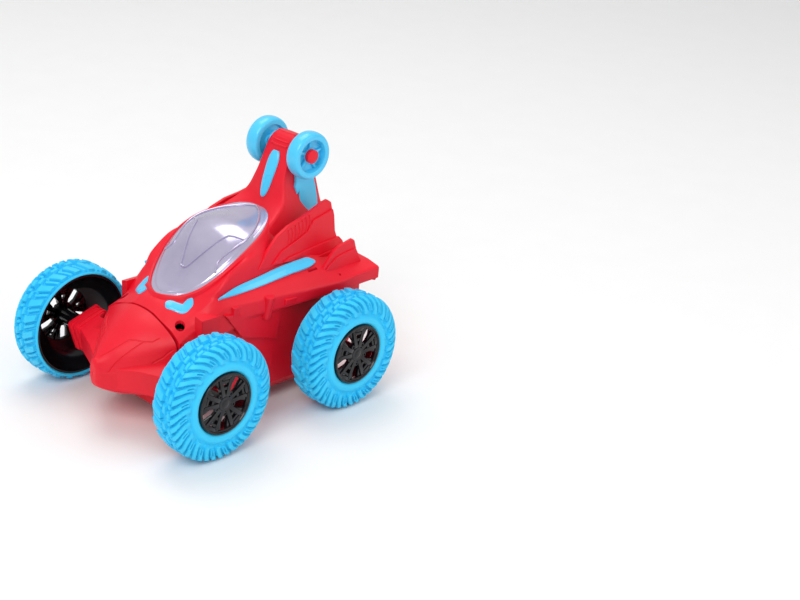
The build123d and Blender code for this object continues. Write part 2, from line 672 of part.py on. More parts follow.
with BuildPart() as battery_door:
    add(block(DOOR[0], DOOR[1], DOOR[2], DOOR[3], TUB_BOTTOM_Z, TUB_BOTTOM_Z + SHELL_WALL))
    for rib in range(5):
        add(block(-8 + 4 * rib - 0.6, -8 + 4 * rib + 0.6, DOOR[3] - 9, DOOR[3] - 2, TUB_BOTTOM_Z - 0.5, TUB_BOTTOM_Z))
    with BuildSketch(Plane.XY.offset(6)):
        with Locations((0, DOOR[2] + 4)):
            Circle(1.3)
    extrude(amount=5, mode=Mode.SUBTRACT)
save(battery_door, "battery_door")

with BuildPart() as power_switch:
    add(block(12 - 3.4, 12 + 3.4, SWITCH_Y - 6.2, SWITCH_Y + 6.2, 10.4, 11.6))
    add(block(12 - 2.0, 12 + 2.0, SWITCH_Y - 3.5, SWITCH_Y - 3.5 + 7.0 - SWITCH_TRAVEL, TUB_BOTTOM_Z - 0.8, 10.4))
save(power_switch, "power_switch")

with BuildPart() as switch_housing:
    add(block(12 - 4.6, 12 + 4.6, SWITCH_Y - 8, SWITCH_Y + 11, 11.9, 16.0))
save(switch_housing, "switch_housing")

with BuildPart() as charge_socket:
    with BuildSketch(Plane.XY.offset(TUB_BOTTOM_Z)):
        with Locations((-12, SOCKET_Y)):
            Circle(2.8)
            Circle(1.8, mode=Mode.SUBTRACT)
    extrude(amount=6)
    with BuildSketch(Plane.XY.offset(TUB_BOTTOM_Z + 6)):
        with Locations((-12, SOCKET_Y)):
            Circle(4.0)
    extrude(amount=4)
save(charge_socket, "charge_socket")

with BuildPart() as speaker:
    with BuildSketch(Plane.XY.offset(TUB_BOTTOM_Z + SHELL_WALL)):
        with Locations((0, 62)):
            Circle(10.0)
    extrude(amount=1.6)
    with BuildSketch(Plane.XY.offset(TUB_BOTTOM_Z + SHELL_WALL + 1.6)):
        with Locations((0, 62)):
            Circle(6.0)
    extrude(amount=3.0)
save(speaker, "speaker")

# ---- battery cells and electronics ---------------------------------------------------
CELL_R = 7.0
CELL_LENGTH = 44.0
with BuildPart() as battery_cells:
    for cell_y in (-14.3, 0.3):
        add(rod(-CELL_LENGTH / 2, CELL_LENGTH / 2, cell_y, TUB_BOTTOM_Z + SHELL_WALL + CELL_R + 0.6, CELL_R))
save(battery_cells, "battery_cells")

with BuildPart() as circuit_board:
    add(block(-22, 22, 0, 46, 58.0, 59.6))
    add(block(-6, 6, 16, 28, 59.6, 61.2))
    add(block(10, 18, 6, 12, 59.6, 63.0))
    for row in range(4):
        add(block(-18, -14, 8 + 7 * row, 11 + 7 * row, 59.6, 61.4))
save(circuit_board, "circuit_board")

# ---- rear drive: one motor and gear train for each side -------------------------------
TRAIN_STEP = GEAR_MODULE * (PINION_TEETH + WHEEL_GEAR_TEETH) / 2
IDLER_Y = REAR_AXLE_Y - TRAIN_STEP
MOTOR_Y = IDLER_Y - TRAIN_STEP
AXLE_GEAR_X = 23.0
IDLER_GEAR_X = 29.0
GEAR_WIDTH = 4.0
HALF_TOOTH = 180 / PINION_TEETH


def train_plane(x, y):
    """Plane for a gear of the rear train whose axle is at y."""
    return Plane(origin=(x, y, AXLE_HEIGHT), x_dir=(0, 1, 0), z_dir=(1, 0, 0))


def housing_plate(x0, x1):
    """Gearbox wall with a bearing hole for each of the three shafts."""
    with BuildPart() as plate:
        with BuildSketch(beside(x0)):
            with Locations((IDLER_Y, AXLE_HEIGHT)):
                Rectangle(2 * TRAIN_STEP + 28, 27)
            with Locations((REAR_AXLE_Y, AXLE_HEIGHT)):
                Circle(REAR_AXLE_R + RUNNING_GAP, mode=Mode.SUBTRACT)
            with Locations((IDLER_Y, AXLE_HEIGHT)):
                Circle(1.0 + RUNNING_GAP, mode=Mode.SUBTRACT)
            with Locations((MOTOR_Y, AXLE_HEIGHT)):
                Circle(1.6, mode=Mode.SUBTRACT)
        extrude(amount=x1 - x0)
    return plate.part


for side_name, side in SIDES.items():
    with BuildPart() as half_axle:
        add(rod(side * 18.0, side * 84.0, REAR_AXLE_Y, AXLE_HEIGHT, REAR_AXLE_R))
    save(half_axle, f"rear_half_axle_{side_name}")
    with BuildPart() as axle_gear:
        low_x = min(side * AXLE_GEAR_X, side * (AXLE_GEAR_X + GEAR_WIDTH))
        add(gear_on(train_plane(low_x, REAR_AXLE_Y), GEAR_WIDTH, WHEEL_GEAR_TEETH, GEAR_MODULE, 0, REAR_AXLE_R))
    save(axle_gear, f"axle_gear_{side_name}")
    with BuildPart() as idler:
        small_x = min(side * (AXLE_GEAR_X - 0.5), side * (IDLER_GEAR_X + 0.5))
        add(gear_on(train_plane(small_x, IDLER_Y), IDLER_GEAR_X - AXLE_GEAR_X + 1.0, PINION_TEETH, GEAR_MODULE, HALF_TOOTH, 0))
        big_x = min(side * IDLER_GEAR_X, side * (IDLER_GEAR_X + GEAR_WIDTH))
        add(gear_on(train_plane(big_x, IDLER_Y), GEAR_WIDTH, WHEEL_GEAR_TEETH, GEAR_MODULE, 180, 0))
        add(rod(side * 20.5, side * 36.5, IDLER_Y, AXLE_HEIGHT, 1.0))
    save(idler, f"idler_gear_{side_name}")
    with BuildPart() as pinion:
        pinion_x = min(side * (IDLER_GEAR_X - 0.5), side * (IDLER_GEAR_X + GEAR_WIDTH + 0.5))
        add(gear_on(train_plane(pinion_x, MOTOR_Y), GEAR_WIDTH + 1.0, PINION_TEETH, GEAR_MODULE, HALF_TOOTH, 1.0))
        add(rod(side * 0.8, side * 36.0, MOTOR_Y, AXLE_HEIGHT, 1.0))
    save(pinion, f"motor_pinion_{side_name}")
    with BuildPart() as drive_motor:
        motor_plane = Plane(origin=(side * 26.2, MOTOR_Y, AXLE_HEIGHT), x_dir=(0, 0, 1), z_dir=(-side, 0, 0))
        add(motor_can(motor_plane))
    save(drive_motor, f"drive_motor_{side_name}")
    with BuildPart() as gearbox:
        outer_wall = sorted((side * 35.0, side * 36.6))
        inner_wall = sorted((side * 20.4, side * 22.0))
        add(housing_plate(*outer_wall))
        with BuildSketch(beside(inner_wall[0])):
            with Locations((REAR_AXLE_Y, AXLE_HEIGHT)):
                Rectangle(22, 27)
                Circle(REAR_AXLE_R + RUNNING_GAP, mode=Mode.SUBTRACT)
            with Locations((IDLER_Y + 1.5, AXLE_HEIGHT)):
                Rectangle(9.5, 27)
            with Locations((IDLER_Y, AXLE_HEIGHT)):
                Circle(1.0 + RUNNING_GAP, mode=Mode.SUBTRACT)
        extrude(amount=inner_wall[1] - inner_wall[0])
        for wall_z in (AXLE_HEIGHT - 13.5, AXLE_HEIGHT + 12.3):
            add(block(side * 20.4, side * 36.6, IDLER_Y - 3.2, REAR_AXLE_Y + 11, wall_z, wall_z + 1.2))
    save(gearbox, f"gearbox_{side_name}")

# ---- screws ---------------------------------------------------------------------------
with BuildPart() as shell_screws:
    for side in SIDES.values():
        with BuildSketch(Plane.XY.offset(56)):
            with Locations((side * BOSS_X, BOSS_Y)):
                Circle(1.2)
        extrude(amount=8)
        with BuildSketch(Plane.XY.offset(64)):
            with Locations((side * BOSS_X, BOSS_Y)):
                Circle(2.5)
                Rectangle(3.0, 0.7, mode=Mode.SUBTRACT)
                Rectangle(0.7, 3.0, mode=Mode.SUBTRACT)
        extrude(amount=1.4)
save(shell_screws, "shell_screws")

with BuildPart() as door_screw:
    with BuildSketch(Plane.XY.offset(TUB_BOTTOM_Z - 0.6)):
        with Locations((0, DOOR[2] + 4)):
            Circle(2.3)
            Rectangle(2.8, 0.7, mode=Mode.SUBTRACT)
            Rectangle(0.7, 2.8, mode=Mode.SUBTRACT)
    extrude(amount=0.6)
    with BuildSketch(Plane.XY.offset(TUB_BOTTOM_Z)):
        with Locations((0, DOOR[2] + 4)):
            Circle(1.3)
    extrude(amount=SHELL_WALL + 0.4)
save(door_screw, "door_screw")
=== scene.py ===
"""Radio controlled stunt car with a rolling nose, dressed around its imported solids.

The car stands on its tyres at z = 0, its nose points to -Y and its left side to +X.  Sizes in the
classes are millimetres; Mould turns them into metres when a mesh is made.
"""
import logging
from dataclasses import dataclass, field
from enum import Enum
from math import cos, pi, radians, sin

import bmesh
import bpy
import numpy as np
from mathutils import Matrix, Vector
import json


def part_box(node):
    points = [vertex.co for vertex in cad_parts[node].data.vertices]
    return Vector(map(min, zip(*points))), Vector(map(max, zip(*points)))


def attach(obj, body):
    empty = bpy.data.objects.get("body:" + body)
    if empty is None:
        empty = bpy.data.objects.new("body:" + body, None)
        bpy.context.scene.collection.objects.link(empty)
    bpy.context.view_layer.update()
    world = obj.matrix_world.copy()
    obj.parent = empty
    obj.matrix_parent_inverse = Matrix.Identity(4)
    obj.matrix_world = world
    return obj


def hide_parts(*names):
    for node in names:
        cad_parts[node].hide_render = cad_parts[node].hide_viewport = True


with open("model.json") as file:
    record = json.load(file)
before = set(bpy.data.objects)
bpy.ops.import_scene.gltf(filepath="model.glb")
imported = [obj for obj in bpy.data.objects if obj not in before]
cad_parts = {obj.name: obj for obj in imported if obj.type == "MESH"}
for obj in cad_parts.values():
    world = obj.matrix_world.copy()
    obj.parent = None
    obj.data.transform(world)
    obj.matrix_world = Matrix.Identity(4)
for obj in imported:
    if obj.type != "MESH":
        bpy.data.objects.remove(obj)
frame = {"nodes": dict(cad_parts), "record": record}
log = logging.getLogger("stunt_car")

MM = 0.001
SIDES = {"left": 1.0, "right": -1.0}
AXLES = {"front": -60.75, "rear": 53.75}
AXLE_HEIGHT = 40.0
MERGE = 0.01
CRISP = 32.0
ROUNDED = 30.0
WINDOW = np.linspace(-1.0, 1.0, 9)
Array = np.ndarray
Profile = tuple[tuple[float, float], ...]
Place = tuple[float, float, float]
Band = tuple[float, float, float, float]


# ---- finishes ------------------------------------------------------------------------
class Grain(Enum):
    """Kind of relief that a finish carries."""

    SMOOTH = "smooth"
    SPARK = "spark"
    RUBBER = "rubber"
    BRUSHED = "brushed"


@dataclass(frozen=True)
class Finish:
    """One moulded, painted or metal finish and the numbers its shader needs."""

    slot: str
    colour: tuple[float, float, float]
    shade: tuple[float, float, float]
    roughness: float
    metallic: float = 0.0
    coat: float = 0.0
    grain: Grain = Grain.SMOOTH
    grain_scale: float = 900.0
    relief: float = 0.05
    patch_scale: float = 30.0
    rough_spread: float = 0.06
    transmission: float = 0.0
    specular: float = 0.5
    coat_roughness: float = 0.08
    patch_edges: tuple[float, float] = (0.3, 0.7)
    patch_detail: float = 4.0
    grain_detail: float = 3.0
    grain_depth: float = 0.0003
    brush_stretch: Place = (1.0, 0.05, 1.0)

    def material(self) -> bpy.types.Material:
        """Return this finish's material, made once: patchy colour, patchy gloss and fine relief."""
        found = bpy.data.materials.get(f"finish_{self.slot}")
        return found if found else self._build()

    def _build(self) -> bpy.types.Material:
        """Make the node tree on Object coordinates.

        Returns:
            The new material.
        """
        made = bpy.data.materials.new(f"finish_{self.slot}")
        made.use_nodes = True
        nodes, links = made.node_tree.nodes, made.node_tree.links
        shader = nodes["Principled BSDF"]
        shader.inputs["Metallic"].default_value = self.metallic
        shader.inputs["Coat Weight"].default_value = self.coat
        shader.inputs["Coat Roughness"].default_value = self.coat_roughness
        shader.inputs["Transmission Weight"].default_value = self.transmission
        shader.inputs["Specular IOR Level"].default_value = self.specular
        place = nodes.new("ShaderNodeTexCoord")
        patches = nodes.new("ShaderNodeTexNoise")
        patches.inputs["Scale"].default_value = self.patch_scale
        patches.inputs["Detail"].default_value = self.patch_detail
        links.new(place.outputs["Object"], patches.inputs["Vector"])
        colours = nodes.new("ShaderNodeValToRGB")
        stops = zip(colours.color_ramp.elements, self.patch_edges, (self.shade, self.colour))
        for stop, edge, colour in stops:
            stop.position = edge
            stop.color = (*colour, 1.0)
        links.new(patches.outputs["Fac"], colours.inputs["Fac"])
        links.new(colours.outputs["Color"], shader.inputs["Base Color"])
        gloss = nodes.new("ShaderNodeMapRange")
        gloss.inputs["To Min"].default_value = max(self.roughness - self.rough_spread, 0.02)
        gloss.inputs["To Max"].default_value = self.roughness + self.rough_spread
        links.new(patches.outputs["Fac"], gloss.inputs["Value"])
        links.new(gloss.outputs["Result"], shader.inputs["Roughness"])
        self._add_relief(nodes, links, place, shader)
        return made

    def _add_relief(self, nodes: bpy.types.Nodes, links: bpy.types.NodeLinks, place: bpy.types.Node,
                    shader: bpy.types.Node) -> None:
        """Fine relief through a bump node.

        Args:
            nodes: the material's nodes.
            links: the material's links.
            place: the texture coordinate node.
            shader: the shader that takes the normal.
        """
        stretch = nodes.new("ShaderNodeMapping")
        if self.grain is Grain.BRUSHED:
            stretch.inputs["Scale"].default_value = self.brush_stretch
        links.new(place.outputs["Object"], stretch.inputs["Vector"])
        if self.grain is Grain.SPARK:
            relief = nodes.new("ShaderNodeTexVoronoi")
            height = relief.outputs["Distance"]
        else:
            relief = nodes.new("ShaderNodeTexNoise")
            relief.inputs["Detail"].default_value = self.grain_detail
            height = relief.outputs["Fac"]
        relief.inputs["Scale"].default_value = self.grain_scale
        links.new(stretch.outputs["Vector"], relief.inputs["Vector"])
        bump = nodes.new("ShaderNodeBump")
        bump.inputs["Strength"].default_value = self.relief
        bump.inputs["Distance"].default_value = self.grain_depth
        links.new(height, bump.inputs["Height"])
        links.new(bump.outputs["Normal"], shader.inputs["Normal"])


RED = Finish("body_red", (0.82, 0.006, 0.026), (0.77, 0.005, 0.021), 0.44, grain=Grain.SPARK, relief=0.08,
             specular=0.32)
TYRE = Finish("tyre_blue", (0.035, 0.62, 0.95), (0.025, 0.56, 0.92), 0.50, grain=Grain.RUBBER, relief=0.10,
              specular=0.4)
TRIM = Finish("trim_blue", (0.07, 0.60, 0.93), (0.055, 0.55, 0.91), 0.28, coat=0.3, relief=0.02)
RIM = Finish("rim_black", (0.006, 0.006, 0.008), (0.004, 0.004, 0.006), 0.13, coat=0.12, relief=0.03,
             specular=0.3)
DOME = Finish("dome_silver", (0.57, 0.53, 0.69), (0.44, 0.40, 0.58), 0.20, metallic=0.55, coat=0.8,
              relief=0.02)
TRAY = Finish("tray_silver", (0.55, 0.55, 0.58), (0.46, 0.46, 0.50), 0.35, metallic=0.6)
STEEL = Finish("steel", (0.55, 0.55, 0.57), (0.42, 0.42, 0.45), 0.28, metallic=1.0, grain=Grain.BRUSHED)
CAN = Finish("motor_can", (0.62, 0.62, 0.60), (0.50, 0.50, 0.49), 0.32, metallic=0.9, grain=Grain.BRUSHED)
GEAR = Finish("gear_white", (0.82, 0.82, 0.78), (0.76, 0.76, 0.72), 0.40)
BLACK = Finish("frame_black", (0.012, 0.012, 0.013), (0.008, 0.008, 0.009), 0.48, grain=Grain.SPARK,
               relief=0.08)
BOARD = Finish("board_green", (0.015, 0.16, 0.06), (0.01, 0.12, 0.045), 0.35, coat=0.4)
WRAP = Finish("cell_wrap", (0.03, 0.10, 0.35), (0.025, 0.08, 0.30), 0.25, coat=0.5)
LAMP = Finish("lamp_clear", (0.85, 0.90, 1.0), (0.80, 0.86, 1.0), 0.10, transmission=0.6)
USED = (RED, TYRE, TRIM, RIM, DOME, TRAY, STEEL, CAN, GEAR, BLACK, BOARD, WRAP, LAMP)
FINISHES = {finish.slot: finish for finish in USED}


# ---- mesh making ---------------------------------------------------------------------
def eased(keys: Array, values: Array, at: Array) -> Array:
    """Smooth curve through keyed values: a cubic on each span, with slopes from its neighbours.

    Args:
        keys: rising places, shape (n,).
        values: what the curve passes through, shape (n, ...).
        at: places to read, any shape.

    Returns:
        The values there, shape at.shape + values.shape[1:].
    """
    keys = np.asarray(keys, float)
    values = np.asarray(values, float)
    steps = np.diff(keys).reshape((-1,) + (1,) * (values.ndim - 1))
    secants = np.diff(values, axis=0) / steps
    inner = (secants[:-1] * steps[1:] + secants[1:] * steps[:-1]) / (steps[1:] + steps[:-1])
    inner = np.where(secants[:-1] * secants[1:] > 0, inner, 0.0)
    slopes = np.concatenate([secants[:1], inner, secants[-1:]])
    flat = np.clip(np.asarray(at, float), keys[0], keys[-1])
    span = np.clip(np.searchsorted(keys, flat, side="right") - 1, 0, len(keys) - 2)
    extra = (1,) * (values.ndim - 1)
    width = (keys[span + 1] - keys[span]).reshape(flat.shape + extra)
    u = ((flat - keys[span]).reshape(flat.shape + extra)) / width
    start = (2 * u**3 - 3 * u**2 + 1) * values[span] + (u**3 - 2 * u**2 + u) * width * slopes[span]
    stop = (3 * u**2 - 2 * u**3) * values[span + 1] + (u**3 - u**2) * width * slopes[span + 1]
    return start + stop


def step(low: float, high: float, value: Array) -> Array:
    """Smooth rise from 0 at low to 1 at high."""
    u = np.clip((value - low) / (high - low), 0.0, 1.0)
    return u * u * (3.0 - 2.0 * u)


def band(edges: Band, value: Array) -> Array:
    """Smooth rise from 0 to 1 between the first two edges, and back to 0 between the last two."""
    return step(*edges[:2], value) * (1 - step(*edges[2:], value))


def run(points: Array) -> Array:
    """Length gone along straight runs through points, starting at 0."""
    return np.concatenate([[0.0], np.cumsum(np.linalg.norm(np.diff(points, axis=0), axis=1))])


class Mould:
    """Collects surfaces in millimetres and turns them into one object in metres."""

    def __init__(self) -> None:
        """Start with no surfaces."""
        self.points: list[Array] = []
        self.faces: list[tuple[int, ...]] = []
        self.count = 0

    def grid(self, points: Array, wrap_rows: bool = False, wrap_columns: bool = False,
             cap: bool = False) -> "Mould":
        """Add a grid of points as quads: each cell joins four neighbours.

        Args:
            points: shape (rows, columns, 3).
            wrap_rows: the last row joins the first.
            wrap_columns: the last column joins the first.
            cap: close the first and last rows with one face each.

        Returns:
            This mould.
        """
        rows, columns = points.shape[:2]
        index = np.arange(rows * columns).reshape(rows, columns) + self.count
        if wrap_rows:
            index = np.vstack([index, index[:1]])
        if wrap_columns:
            index = np.hstack([index, index[:, :1]])
        cells = np.stack([index[:-1, :-1], index[1:, :-1], index[1:, 1:], index[:-1, 1:]], axis=-1)
        self.faces += [tuple(c) for c in cells.reshape(-1, 4).tolist()]
        if cap:
            self.faces.append(tuple(index[0, :columns].tolist()))
            self.faces.append(tuple(index[rows - 1, :columns][::-1].tolist()))
        self.points.append(points.reshape(-1, 3))
        self.count += rows * columns
        return self

    @staticmethod
    def faces_inwards(shape: bmesh.types.BMesh) -> bool:
        """Whether an open surface's faces look towards its middle; a closed one never does."""
        if not any(edge.is_boundary for edge in shape.edges):
            return False
        middle = sum((v.co for v in shape.verts), Vector()) / len(shape.verts)
        looks = ((f.calc_center_median() - middle).dot(f.normal) * f.calc_area() for f in shape.faces)
        return sum(looks) < 0

    def piece(self, name: str, finish: Finish, sharp: float = CRISP,
              bevel: float = 0.0) -> bpy.types.Object:
        """Make the object, with faces turned outwards and smooth shading up to an angle.

        Args:
            name: the object's name.
            finish: what it is made of.
            sharp: edges turned by more degrees than this stay crisp.
            bevel: width in millimetres of rounded edges, 0 for none.

        Returns:
            The new object.
        """
        mesh = bpy.data.meshes.new(name)
        mesh.from_pydata((np.concatenate(self.points) * MM).tolist(), [], self.faces)
        shape = bmesh.new()
        shape.from_mesh(mesh)
        bmesh.ops.remove_doubles(shape, verts=shape.verts, dist=MERGE * MM)
        bmesh.ops.recalc_face_normals(shape, faces=shape.faces)
        if self.faces_inwards(shape):
            bmesh.ops.reverse_faces(shape, faces=shape.faces)
        shape.to_mesh(mesh)
        shape.free()
        mesh.shade_smooth()
        mesh.set_sharp_from_angle(angle=radians(sharp))
        made = bpy.data.objects.new(name, mesh)
        bpy.context.scene.collection.objects.link(made)
        mesh.materials.append(finish.material())
        if bevel:
            rounding = made.modifiers.new("rounding", "BEVEL")
            rounding.width = bevel * MM
            rounding.segments = 2
            rounding.limit_method = "ANGLE"
            rounding.angle_limit = radians(ROUNDED)
            rounding.harden_normals = True
        return made


def settle(made: bpy.types.Object, body: str, finish: Finish, *replaced: str) -> bpy.types.Object:
    """Let a piece ride on a body and stand for CAD nodes.

    Args:
        made: the piece.
        body: the CAD body it moves with.
        finish: its finish; not used.
        replaced: CAD nodes that it stands for.

    Returns:
        The piece.
    """
    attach(made, body)
    if replaced:
        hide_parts(*replaced)
    return made


def carve(target: bpy.types.Object, cutters: list[bpy.types.Object]) -> None:
    """Cut closed shapes out of a piece for good, and remove the cutters.

    Args:
        target: the closed piece.
        cutters: closed shapes to take away.
    """
    for cutter in cutters:
        cut = target.modifiers.new("cut", "BOOLEAN")
        cut.operation = "DIFFERENCE"
        cut.solver = "MANIFOLD"
        cut.object = cutter
    bpy.context.view_layer.update()
    graph = bpy.context.evaluated_depsgraph_get()
    mesh = bpy.data.meshes.new_from_object(target.evaluated_get(graph))
    target.modifiers.clear()
    target.data = mesh
    mesh.name = target.name
    for cutter in cutters:
        bpy.data.objects.remove(cutter)
    mesh.shade_smooth()
    mesh.set_sharp_from_angle(angle=radians(CRISP))


def thicken(made: bpy.types.Object, wall: float) -> None:
    """Give a surface a wall inwards, in millimetres."""
    inwards = made.modifiers.new("wall", "SOLIDIFY")
    inwards.thickness = wall * MM
    inwards.offset = -1.0


def ring(radius: float, count: int, start: float = 0.0) -> Array:
    """Points of a circle as (cosine, sine) times a radius, shape (count, 2)."""
    turn = start + np.arange(count) * 2 * pi / count
    return np.stack([np.cos(turn), np.sin(turn)], axis=1) * radius


def lathe(mould: Mould, profile: Profile | Array, centre: tuple[float, float], side: float = 1.0,
          count: int = 96) -> Mould:
    """Turn a profile of (place along X, radius) about an axle along X.

    The point at angle a of profile row (x, r) is (side x, y0 + r cos a, z0 + r sin a).

    Args:
        mould: where the surface goes.
        profile: shape (n, 2).
        centre: the axle's y and z.
        side: 1 or -1, which mirrors it.
        count: points round the axle.

    Returns:
        The mould.
    """
    profile = np.asarray(profile, float)
    circle = ring(1.0, count)
    x = np.broadcast_to(side * profile[:, 0, None], (len(profile), count))
    y = centre[0] + profile[:, 1, None] * circle[None, :, 0]
    z = centre[1] + profile[:, 1, None] * circle[None, :, 1]
    return mould.grid(np.stack([x, y, z], axis=2), wrap_rows=True, wrap_columns=True)


def plate(mould: Mould, outline: Profile, x0: float, x1: float, lean: float = 0.0,
          foot: float = 0.0) -> Mould:
    """Upright flat plate between two X places; its outline is (y, z) points.

    A lean of s moves a point at height z outwards by s (z - foot).

    Args:
        mould: where the plate goes.
        outline: shape (n, 2).
        x0: the inner face's X.
        x1: the outer face's X.
        lean: outward shift for each millimetre of height.
        foot: height where the lean is nothing.

    Returns:
        The mould.
    """
    outline = np.asarray(outline, float)
    shift = lean * (outline[:, 1] - foot)
    rows = [np.column_stack([x + np.sign(x) * shift, outline]) for x in (x0, x1)]
    return mould.grid(np.stack(rows), wrap_columns=True, cap=True)


def box(mould: Mould, low: Place, high: Place) -> Mould:
    """Add a rectangular block between two corners."""
    (x0, y0, z0), (x1, y1, z1) = low, high
    foot = np.array([[x0, y0, z0], [x1, y0, z0], [x1, y1, z0], [x0, y1, z0]])
    top = foot + np.array([0.0, 0.0, z1 - z0])
    return mould.grid(np.stack([foot, top]), wrap_columns=True, cap=True)


def tube(mould: Mould, path: Array, radius: float, count: int = 12) -> Mould:
    """Round bar along a path: circles square to the path at each point.

    Args:
        mould: where the bar goes.
        path: shape (n, 3).
        radius: the bar's radius.
        count: points round it.

    Returns:
        The mould.
    """
    path = np.asarray(path, float)
    along = np.gradient(path, axis=0)
    along /= np.linalg.norm(along, axis=1, keepdims=True)
    guide = np.array([0.0, 0.0, 1.0]) if abs(along[0, 2]) < 0.8 else np.array([0.0, 1.0, 0.0])
    across = np.cross(along, guide)
    across /= np.linalg.norm(across, axis=1, keepdims=True)
    up = np.cross(across, along)
    circle = ring(1.0, count)
    offset = circle[None, :, :1] * across[:, None, :] + circle[None, :, 1:] * up[:, None, :]
    return mould.grid(path[:, None, :] + radius * offset, wrap_columns=True, cap=True)


@dataclass
class Sided:
    """What stands on one side of the car."""

    side_name: str

    @property
    def side(self) -> float:
        """1 on the left of the car, -1 on the right."""
        return SIDES[self.side_name]


@dataclass
class Hull:
    """Surface through mirrored half outlines at places along the car.

    A half outline runs from the middle line outwards and down as (x, z) points.  Along the car each
    point follows a smooth curve.  Round the outline the surface is the mean of the straight-sided
    outline over a short window, so a corner with a wide window is soft and one with none is crisp.
    """

    places: list[float]
    halves: list[list[tuple[float, float]]]
    softness: list[float]
    search_steps: int = 160

    def outline(self, y: Array, t: Array) -> Array:
        """Read the surface at places y and outline numbers t.

        Args:
            y: places along the car, shape (n,).
            t: outline numbers, negative on the right side, shape (m,).

        Returns:
            Points, shape (n, m, 3).
        """
        corners = eased(np.array(self.places), np.array(self.halves), np.asarray(y, float))
        last = corners.shape[1] - 1
        reach = np.interp(np.abs(t), np.arange(last + 1), self.softness)
        where = t[:, None] + reach[:, None] * WINDOW[None, :]
        size = np.clip(np.abs(where), 0.0, last)
        low = np.clip(np.floor(size).astype(int), 0, last - 1)
        part = (size - low)[None, :, :, None]
        value = corners[:, low] * (1 - part) + corners[:, low + 1] * part
        value[..., 0] *= np.sign(where)[None]
        mean = value.mean(axis=2)
        long = np.broadcast_to(np.asarray(y, float)[:, None], mean.shape[:2])
        return np.stack([mean[..., 0], long, mean[..., 1]], axis=2)

    def height(self, x: Array, y: Array, limit: float) -> Array:
        """Height of the upper surface over plan points.

        Args:
            x: distances from the middle line, shape (n,).
            y: places along the car, shape (n,).
            limit: outline number where the search stops.

        Returns:
            Heights, shape (n,).
        """
        t = np.linspace(0.0, limit, self.search_steps)
        rows = self.outline(y, t)
        reached = np.argmax(rows[:, :, 0] >= np.abs(x)[:, None], axis=1)
        back = np.maximum(reached - 1, 0)
        n = np.arange(len(x))
        x0, x1 = rows[n, back, 0], rows[n, reached, 0]
        part = np.where(x1 > x0, (np.abs(x) - x0) / np.maximum(x1 - x0, 1e-6), 0.0)
        return rows[n, back, 2] * (1 - part) + rows[n, reached, 2] * part


# ---- road wheels ---------------------------------------------------------------------
@dataclass(frozen=True)
class Tread:
    """Numbers of the tyre's relief.

    A band says where a block, rib or row rises, is full, fades and ends.  Blocks and ribs are
    measured round the tyre within their own pitch, rows across the section from the inner bead
    at 0 to the outer bead at 1.
    """

    block: Band = (0.04, 0.09, 0.52, 0.57)
    slanted_block: Band = (0.05, 0.10, 0.50, 0.55)
    small_block: Band = (0.64, 0.68, 0.86, 0.90)
    small_height: float = 0.8
    small_slanted_height: float = 0.7
    inner_row: Band = (0.10, 0.12, 0.325, 0.34)
    first_row: Band = (0.345, 0.36, 0.415, 0.43)
    second_row: Band = (0.435, 0.45, 0.50, 0.515)
    row_split: float = 0.42
    row_shift: float = 0.15
    zig: float = 0.16
    zigs_across: float = 11.0
    slant: float = 2.0
    slant_middle: float = 0.30
    rib: Band = (0.0, 0.10, 0.70, 0.80)
    rib_rise: tuple[float, float] = (0.505, 0.52)
    rib_end: float = 0.835
    rib_shortening: float = 0.05
    rib_fade: float = 0.012
    bend: float = 1.5
    bend_start: float = 0.50
    bend_span: float = 0.34
    bend_power: float = 1.4
    notch: Band = (0.30, 0.36, 0.44, 0.50)
    notch_rise: tuple[float, float] = (0.66, 0.68)
    notch_depth: float = 0.6
    cut_rows: Band = (0.02, 0.12, 0.83, 0.90)
    wall_start: tuple[float, float] = (0.5, 0.66)


